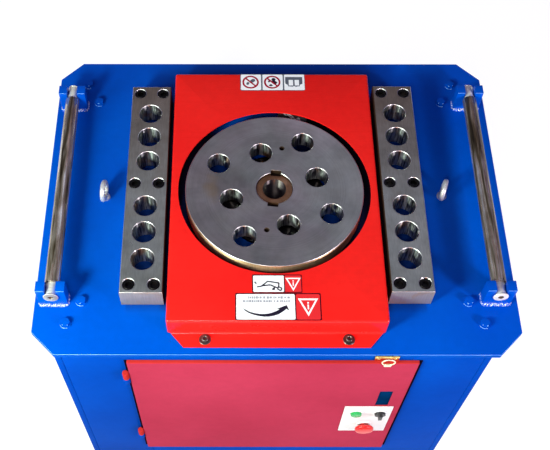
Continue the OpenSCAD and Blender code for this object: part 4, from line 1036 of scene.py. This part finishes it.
def door():
    cx, _, cz = middle("door_panel")
    window_low, window_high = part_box("door_window")
    lap = 3 * MM
    holes = [ring_points(x * MM - cx, z * MM - cz, 12 * MM, 40)
             for x, z in ((201, 348), (176, 420), (226, 420))]
    holes.append(rounded_rectangle(window_low.x + lap - cx, window_high.x - lap - cx, window_low.z + lap - cz,
                                   window_high.z - lap - cz, 2 * MM, 4))
    mesh = folded_pan((door_low.x - cx, door_high.x - cx), (door_low.z - cz, door_high.z - cz),
                      door_high.y - door_low.y, 2.6 * MM, 2.8 * MM, holes, 2 * MM)
    mesh.transform(shift(cx, door_low.y, cz) @ turn("X", 90))
    piece = stand_in("door_skin", mesh, "door_red", "door_panel")
    # the lit copy on the upward faces: painted light
    also(piece, "door_red_lit", lambda c, n: n.z > 0.6)


def padlock_eye():
    x, top = middle("padlock_eye")[0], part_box("padlock_eye")[1].z
    ring = torus(11.8 * MM, 1.3 * MM, 64, 14)
    outline = rounded_rectangle(-7 * MM, 7 * MM, -4 * MM, 4 * MM, 2 * MM)
    tab = plate(outline, [], 0, 3 * MM, 0.5 * MM, 2)
    mesh = merge([
        (ring, shift(x, door_low.y - 1.8 * MM, top - 13.2 * MM) @ turn("X", 90)),
        (tab, shift(x, door_low.y + 0.001 * MM, door_high.z - 4 * MM) @ turn("X", 90))])
    stand_in("padlock_eye_ring", mesh, "ring_zinc", "padlock_eye", 50)


def door_gap_shadow():
    """A thin black strip beside each side of the closed door: painted shadow in the gap round the opening."""
    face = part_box("front_panels")[0].y
    parts = []
    for x0, x1 in ((door_low.x - 5.2 * MM, door_low.x + 8 * MM),
                   (door_high.x - 8 * MM, door_high.x + 6.8 * MM)):
        outline = rounded_rectangle(x0, x1, door_low.z - 2 * MM, door_high.z - 1 * MM, 1 * MM)
        strip = plate(outline, [], 0, 0.9 * MM, 0.3 * MM, 2)
        parts.append((strip, shift(0, face, 0) @ turn("X", 90)))
    add_piece("door_gap_shadow", merge(parts), "gap_shadow_black", "root", 35)


# ---------------- labels

def labels():
    """Printed vinyl on the cover: only plain signs, with no lettering. All places are in millimetres."""
    base, ink = 0.22 * MM, 0.10 * MM
    inks = {"white": "vinyl_white", "red": "vinyl_red", "black": "print_black", "grey": "print_grey",
            "pale": "print_pale", "sign": "print_red", "edge": "vinyl_edge"}
    groups = {group: [] for group in inks}

    def slab(group, outline, level=0, holes=()):
        low = cover_high.z + (base + (level - 1) * ink if level else 0.02 * MM)
        high = cover_high.z + base + level * ink
        outline, *holes = [[(x * MM, y * MM) for x, y in loop] for loop in (outline, *holes)]
        groups[group].append((plate(outline, holes, low, high, 0.03 * MM, 1), HERE))

    def bar(x0, y0, x1, y1, width):
        a, b = Vector((x0, y0)), Vector((x1, y1))
        side = (b - a).orthogonal().normalized() * width / 2
        return [tuple(p) for p in (a + side, a - side, b - side, b + side)]

    def drawing(group, cx, cy, *points):
        slab(group, [(cx + x, cy + y) for x, y in points], 2)

    def warning(cx, cy, size):
        """A triangle with an upright mark in it."""
        outer = [(cx - size, cy + size * 0.90), (cx, cy - size * 1.04), (cx + size, cy + size * 0.90)]
        low = cy + size * 0.28
        inner = [(cx + (x - cx) * 0.72, low + (y - low) * 0.70) for x, y in outer]
        slab("white", outer, 2, [inner])
        slab("white", bar(cx, cy + size * 0.52, cx, cy + size * 0.34, size * 0.16), 2)
        slab("white", bar(cx, cy + size * 0.24, cx, cy - size * 0.28, size * 0.15), 2)

    # Strip at the back: two prohibition signs and an open booklet
    slab("grey", rounded_rectangle(-66.4, 69.6, 245.4, 289.9, 3.6))
    for k in range(3):
        left = -65.0 + k * 45.6
        cx, cy = left + 20.4, 268
        slab("white", rounded_rectangle(left, left + 42.6, 246.8, 288.6, 2.6), 1)
        if k < 2:
            slab("sign", ring_points(cx, cy, 17.4, 56), 2, [ring_points(cx, cy, 13.6, 56)])
            slab("sign", bar(cx - 10.6, cy + 10.6, cx + 10.6, cy - 10.6, 3.4), 3)
        if k == 0:
            drawing("grey", cx, cy, (-2, 3), (4, 9), (9, 8), (10, 3), (5, -1), (0, -2))
            drawing("grey", cx, cy, (-9, -2), (-5, 1), (-2, -3), (-5, -8), (-9, -6))
        if k == 1:
            slab("black", ring_points(cx + 3, cy + 7, 4.2, 24), 2)
            drawing("black", cx, cy, (0, 4), (7, 3), (11, -1), (8, -5), (3, -2), (-2, -1))
            drawing("black", cx, cy, (-9, 3), (-4, 6), (-3, 2), (-8, -1))
            drawing("black", cx, cy, (-8, -9), (-3, -5), (2, -9), (-3, -11))
        if k == 2:
            drawing("grey", cx, cy, (-18, 14), (18, 14), (18, -4), (13, -7), (12, -11), (2, -12), (0, -10),
                    (-2, -12), (-12, -11), (-13, -7), (-18, -4))
            for x0, x1 in ((-10.8, -1.6), (1.6, 10.8)):
                slab("white", rounded_rectangle(cx + x0, cx + x1, cy - 9, cy + 6, 0.6), 3)

    # Small sign at the front: outline of a lifted machine, and a triangle
    slab("edge", rounded_rectangle(-45.8, 46.6, -229.2, -191.2, 2.5))
    slab("white", rounded_rectangle(-43.8, 13.0, -227.4, -193.4, 2.2), 1)
    slab("red", rounded_rectangle(14.9, 45.0, -227.4, -193.0, 2), 1)
    for line in ((-37, -217, -29, -216), (-29, -216, -17, -205.5), (-17, -205.5, 4, -209),
                 (4, -209, 3, -216.5), (3, -216.5, 9, -220), (9, -220, 7, -225), (7, -225, 1, -221.5),
                 (1, -221.5, 3, -216.5), (-27, -214.5, -12, -213), (-12, -213, -4, -217), (-4, -217, 1, -219),
                 (-8, -221.5, -3.5, -218), (-41, -206.5, -38, -210.5), (-9, -222.5, -3.5, -221.5)):
        slab("black", bar(*line, 2.5), 2)
    warning(30.2, -210.8, 14.2)

    # Large sign: a curved arrow that shows the way the disc turns, and a triangle
    slab("edge", rounded_rectangle(-77.2, 80.0, -285.2, -229.8, 3))
    slab("white", rounded_rectangle(-75.0, 32.2, -283.4, -232.0, 2.8), 1)
    slab("red", rounded_rectangle(34.3, 78.0, -283.4, -231.8, 2.8), 1)
    warning(56.2, -257.6, 18.6)
    drawing("black", 1.5, 0, (-64.2, -261.0), (-54, -267.0), (-45, -270.3), (-35, -272.1), (-26, -272.4),
            (-18, -271.5), (-12, -269.9), (-5, -266.9), (2, -263.3), (-2.8, -262.1), (15.4, -254.3),
            (19.9, -265.1), (14.6, -262.0), (9, -266.9), (0, -272.9), (-9, -276.1), (-18, -277.7),
            (-26, -277.7), (-36, -276.3), (-46, -273.6), (-55, -269.6), (-61, -265.3))
    for row, x, x1, seed in ((-239, -53, 23, 239), (-246.5, -63, 23, 246)):
        widths = random.Random(seed)
        while x < x1:
            w = widths.uniform(1.6, 4.2)
            slab("pale", bar(x, row, min(x + w, x1), row, widths.uniform(3.2, 4.6)), 2)
            x += w + widths.choice((0.8, 1.0, 1.2, 3.0))
    for group, parts in groups.items():
        add_piece("label_" + group, merge(parts), inks[group], "root", 30)


# ---------------- pieces that keep their CAD shape

def inner_parts():
    """CAD shapes with their edges rounded, by node and radius in millimetres."""
    for node, width in (("side_panels", 0.5), ("back_panel", 0.4), ("front_panels", 0.4),
                        ("hasp_plate", 0.4), ("frame_hinges", 0.5), ("control_plate", 0.5),
                        ("selector_knob", 0.8), ("electrical_box", 1.0), ("gearbox_case", 1.5),
                        ("gearbox_lid", 1.5), ("motor_bracket", 1.0), ("terminal_box", 1.5),
                        ("limit_switch", 0.8), ("switch_lever", 0.4), ("wheel_brackets", 0.6),
                        ("welded_frame", 1.0), ("bearing_cover", 0.8)):
        eased(node, width * MM)
    for node in ("start_button", "estop_button", "door_window", "bottom_pan", "bearing_bridge", "bearings",
                 "shaft_seal", "motor_body", "fan_cowl", "driven_pulley", "motor_pulley", "motor_shaft",
                 "main_gear", "final_pinion", "second_gear", "second_pinion", "first_gear", "input_pinion",
                 "cooling_fan", "drive_belts"):
        eased(node, 0.3 * MM, 1)


def shaft():
    piece = eased("main_shaft", 1.0 * MM)
    # painted highlight on the shaft ring's chamfers
    also(piece, "highlight_steel", lambda c, n: 0.3 < n.z < 0.97 and c.z > disc_low.z
         and 18 * MM < c.xy.length < 28 * MM)
    also(piece, "shaft_bore", lambda c, n: abs(n.z) < 0.3 and c.xy.length < 26 * MM)


def wheels():
    for place in ("front_left", "front_right", "back_left", "back_right"):
        node = "wheel_" + place
        low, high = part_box(node)
        hub, hub_reach = (low + high) / 2, 0.62 * (high.z - low.z) / 2
        piece = eased(node, 1.2 * MM, 3)
        also(piece, "wheel_zinc", lambda c, n: (c - hub).xz.length < hub_reach)


# ---------------- everything

make_camera()
make_stage()

for node, obj in NODES.items():
    obj.data.materials.clear()
    obj.data.materials.append(LOOKS[NODE_SLOT[node]])
    finish_mesh(obj.data)

for build in (deck, bars, bar_screws, deck_bolts, work_disc, disc_cover, cover_screws, rollers, roller_axles,
              roller_brackets, bracket_welds, lifting_eyes, door, padlock_eye, labels, shaft):
    build()
# keys near black: oily, and painted shade in the keyways
eased("disc_keys", 0.4 * MM, look="oil_and_shade_black")
eased("trip_pins", 0.4 * MM, look="oily_steel")
door_gap_shadow()
# the hinges in the lit copy of the door paint: painted light
eased("door_hinges", 0.5 * MM, look="door_red_lit")
inner_parts()
wheels()
